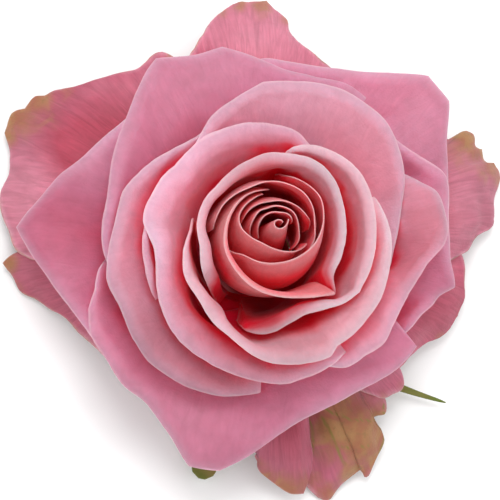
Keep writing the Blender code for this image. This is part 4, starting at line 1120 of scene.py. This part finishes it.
def make_hip():
    """Stem end, hip and receptacle: a ring drawn up step by step from the cut."""
    bpy.ops.mesh.primitive_circle_add(vertices=HIP_SIDES, radius=CUT_RADIUS * MM, fill_type="TRIFAN",
                                      location=(0.0, 0.0, 0.0))
    piece = bpy.context.object
    piece.name = piece.data.name = "hip_and_stem"
    steps = HIP_STEPS + [(RECEPTACLE_RADIUS * math.cos(rise),
                          RECEPTACLE_HEIGHT + RECEPTACLE_RADIUS * math.sin(rise))
                         for rise in np.radians(np.linspace(*RECEPTACLE_RISES, RECEPTACLE_RINGS)).tolist()]
    bpy.ops.object.mode_set(mode="EDIT")
    bpy.ops.mesh.select_all(action="DESELECT")
    bpy.ops.mesh.select_mode(type="EDGE")
    bpy.ops.mesh.select_non_manifold()
    radius, height = CUT_RADIUS, 0.0
    for to_radius, to_height in steps:
        rise_by = (0, 0, (to_height - height) * MM)
        bpy.ops.mesh.extrude_edges_move(TRANSFORM_OT_translate={"value": rise_by})
        share = to_radius / radius
        bpy.ops.transform.resize(value=(share, share, 1.0), center_override=(0, 0, to_height * MM))
        radius, height = to_radius, to_height
    bpy.ops.mesh.merge(type="CENTER")
    bpy.ops.mesh.select_all(action="SELECT")
    bpy.ops.mesh.normals_make_consistent(inside=False)
    bpy.ops.object.mode_set(mode="OBJECT")
    for material in (
            leaf_skin("hip_green", (104, 128, 52), (138, 152, 78), (84, 106, 40)),
            # Dark crimson: painted shade where the receptacle shows deep between the petals
            plain_skin("receptacle_skin", (120, 6, 16), (140, 14, 26), 0.6, 260.0, 3.0, 0.35, 0.65),
            leaf_skin("cut_face", (196, 200, 142), (214, 214, 168), (158, 164, 96), 0.7)):
        piece.data.materials.append(material)
    for face in piece.data.polygons:
        if face.center.z > HIP_TOP * MM:
            face.material_index = 1
        if face.center.z < CUT_TOP * MM:
            face.material_index = 2
    smooth_shaded(piece, 40.0)
    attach(piece, "root")
    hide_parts("hip_and_stem_end")


SEPAL_THICKNESS = 0.6
SEPAL_GRID = (13, 41)
# How far in millimetres the sides of a sepal bend up and its keel dips, and how wide the keel is as a
# share of the sepal's half width
SEPAL_BEND = 0.9
KEEL_DEPTH = 0.25
KEEL_WIDTH = 0.25


def make_sepals():
    """Five sepals folded back under the petals, thin at their edges and keeled along the middle."""
    green = leaf_skin("sepal_green", (84, 96, 24), (118, 108, 44), (66, 80, 22))
    pale = leaf_skin("sepal_inner", (92, 106, 30), (132, 112, 62), (72, 88, 26), 0.7)
    for name, heading, length, half_width, tip_height, bow, blunt in SEPALS:
        columns, rows = SEPAL_GRID
        piece, i, j = new_grid(name + "_leaf", columns, rows)
        along = np.linspace(0.0, 1.0, rows)[j]
        across = np.linspace(-1.0, 1.0, columns)[i]
        out = SEPAL_ROOT[0] + (length - SEPAL_ROOT[0]) * along
        up = SEPAL_ROOT[1] + (tip_height - SEPAL_ROOT[1]) * np.sqrt(along)
        taper = np.interp(along, (0, 0.12, 0.25, 1.0), (0.6, 0.86, 1.0, blunt))
        taper = taper * np.sqrt(1.0 - np.clip((along - 0.95) / 0.052, 0.0, 1.0) ** 2)
        side = across * half_width * taper + bow * np.sin(math.pi * along)
        lift = ((across ** 2) * SEPAL_BEND * taper
                - KEEL_DEPTH * np.exp(-(across / KEEL_WIDTH) ** 2) * taper)
        angle = math.radians(heading)
        flat = np.stack([out * math.cos(angle) - side * math.sin(angle),
                         out * math.sin(angle) + side * math.cos(angle), up + lift], axis=-1)
        set_places(piece, flat)
        for material in (pale, green, green):
            piece.data.materials.append(material)
        if piece.data.polygons[0].normal.z < 0:
            flip(piece)
        add_skin(piece, SEPAL_THICKNESS, np.clip(1.15 - np.abs(across), 0.2, 1.0))
        smooth_shaded(piece)
        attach(piece, "root")
        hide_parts(name)


# Studio: metres and watts
FLOOR_SIZE = 6.0
WORLD_STRENGTH = 1.12
LIGHTS_AIM = Vector((0, 0, 0.03))
LIGHTS = [
    ("key_light", (-0.1, 0.25, 0.9), 3.0, 0.35),
    ("fill_light", (0.3, 0.25, 0.8), 0.8, 0.6),
]
SENSOR_WIDTH = 36.0


def make_floor():
    """A plain pale floor."""
    bpy.ops.mesh.primitive_grid_add(x_subdivisions=4, y_subdivisions=4, size=FLOOR_SIZE,
                                    location=(0.0, 0.0, 0.0))
    floor = bpy.context.object
    floor.name = "floor"
    floor.data.materials.append(
        plain_skin("floor_paper", (250, 250, 250), (246, 246, 246), 0.9, 40.0, 2.0, 0.3, 0.7))


def make_light(name, place_at, power, size):
    """A soft square light that looks at the bloom."""
    lamp = bpy.data.lights.new(name, "AREA")
    lamp.energy, lamp.size = power, size
    thing = bpy.data.objects.new(name, lamp)
    at = Vector(place_at)
    turned = (LIGHTS_AIM - at).to_track_quat("-Z", "Y").to_matrix().to_4x4()
    thing.matrix_world = Matrix.Translation(at) @ turned
    bpy.context.scene.collection.objects.link(thing)


def make_studio():
    """Floor, lights and the world round them."""
    make_floor()
    world = bpy.data.worlds.new("studio")
    bpy.context.scene.world = world
    world.use_nodes = True
    background = world.node_tree.nodes["Background"].inputs
    background["Color"].default_value = (1.0, 1.0, 1.0, 1.0)
    background["Strength"].default_value = WORLD_STRENGTH
    for light in LIGHTS:
        make_light(*light)
    bpy.context.scene.view_settings.view_transform = "Standard"


def make_camera():
    """The camera at the photo's own viewing angle."""
    camera = bpy.data.objects.new("camera", bpy.data.cameras.new("camera"))
    camera.data.sensor_width = SENSOR_WIDTH
    camera.data.lens = SENSOR_WIDTH * EYE_DISTANCE / BLOOM_WIDTH
    turned = Matrix.Identity(4)
    for column, way in enumerate((EYE_RIGHT, EYE_UP, -EYE_FORWARD)):
        for row in range(3):
            turned[row][column] = way[row]
    turned.translation = Vector(EYE * MM)
    camera.matrix_world = turned
    bpy.context.scene.collection.objects.link(camera)
    bpy.context.scene.camera = camera


make_hip()
make_sepals()
make_petals()
make_studio()
make_camera()
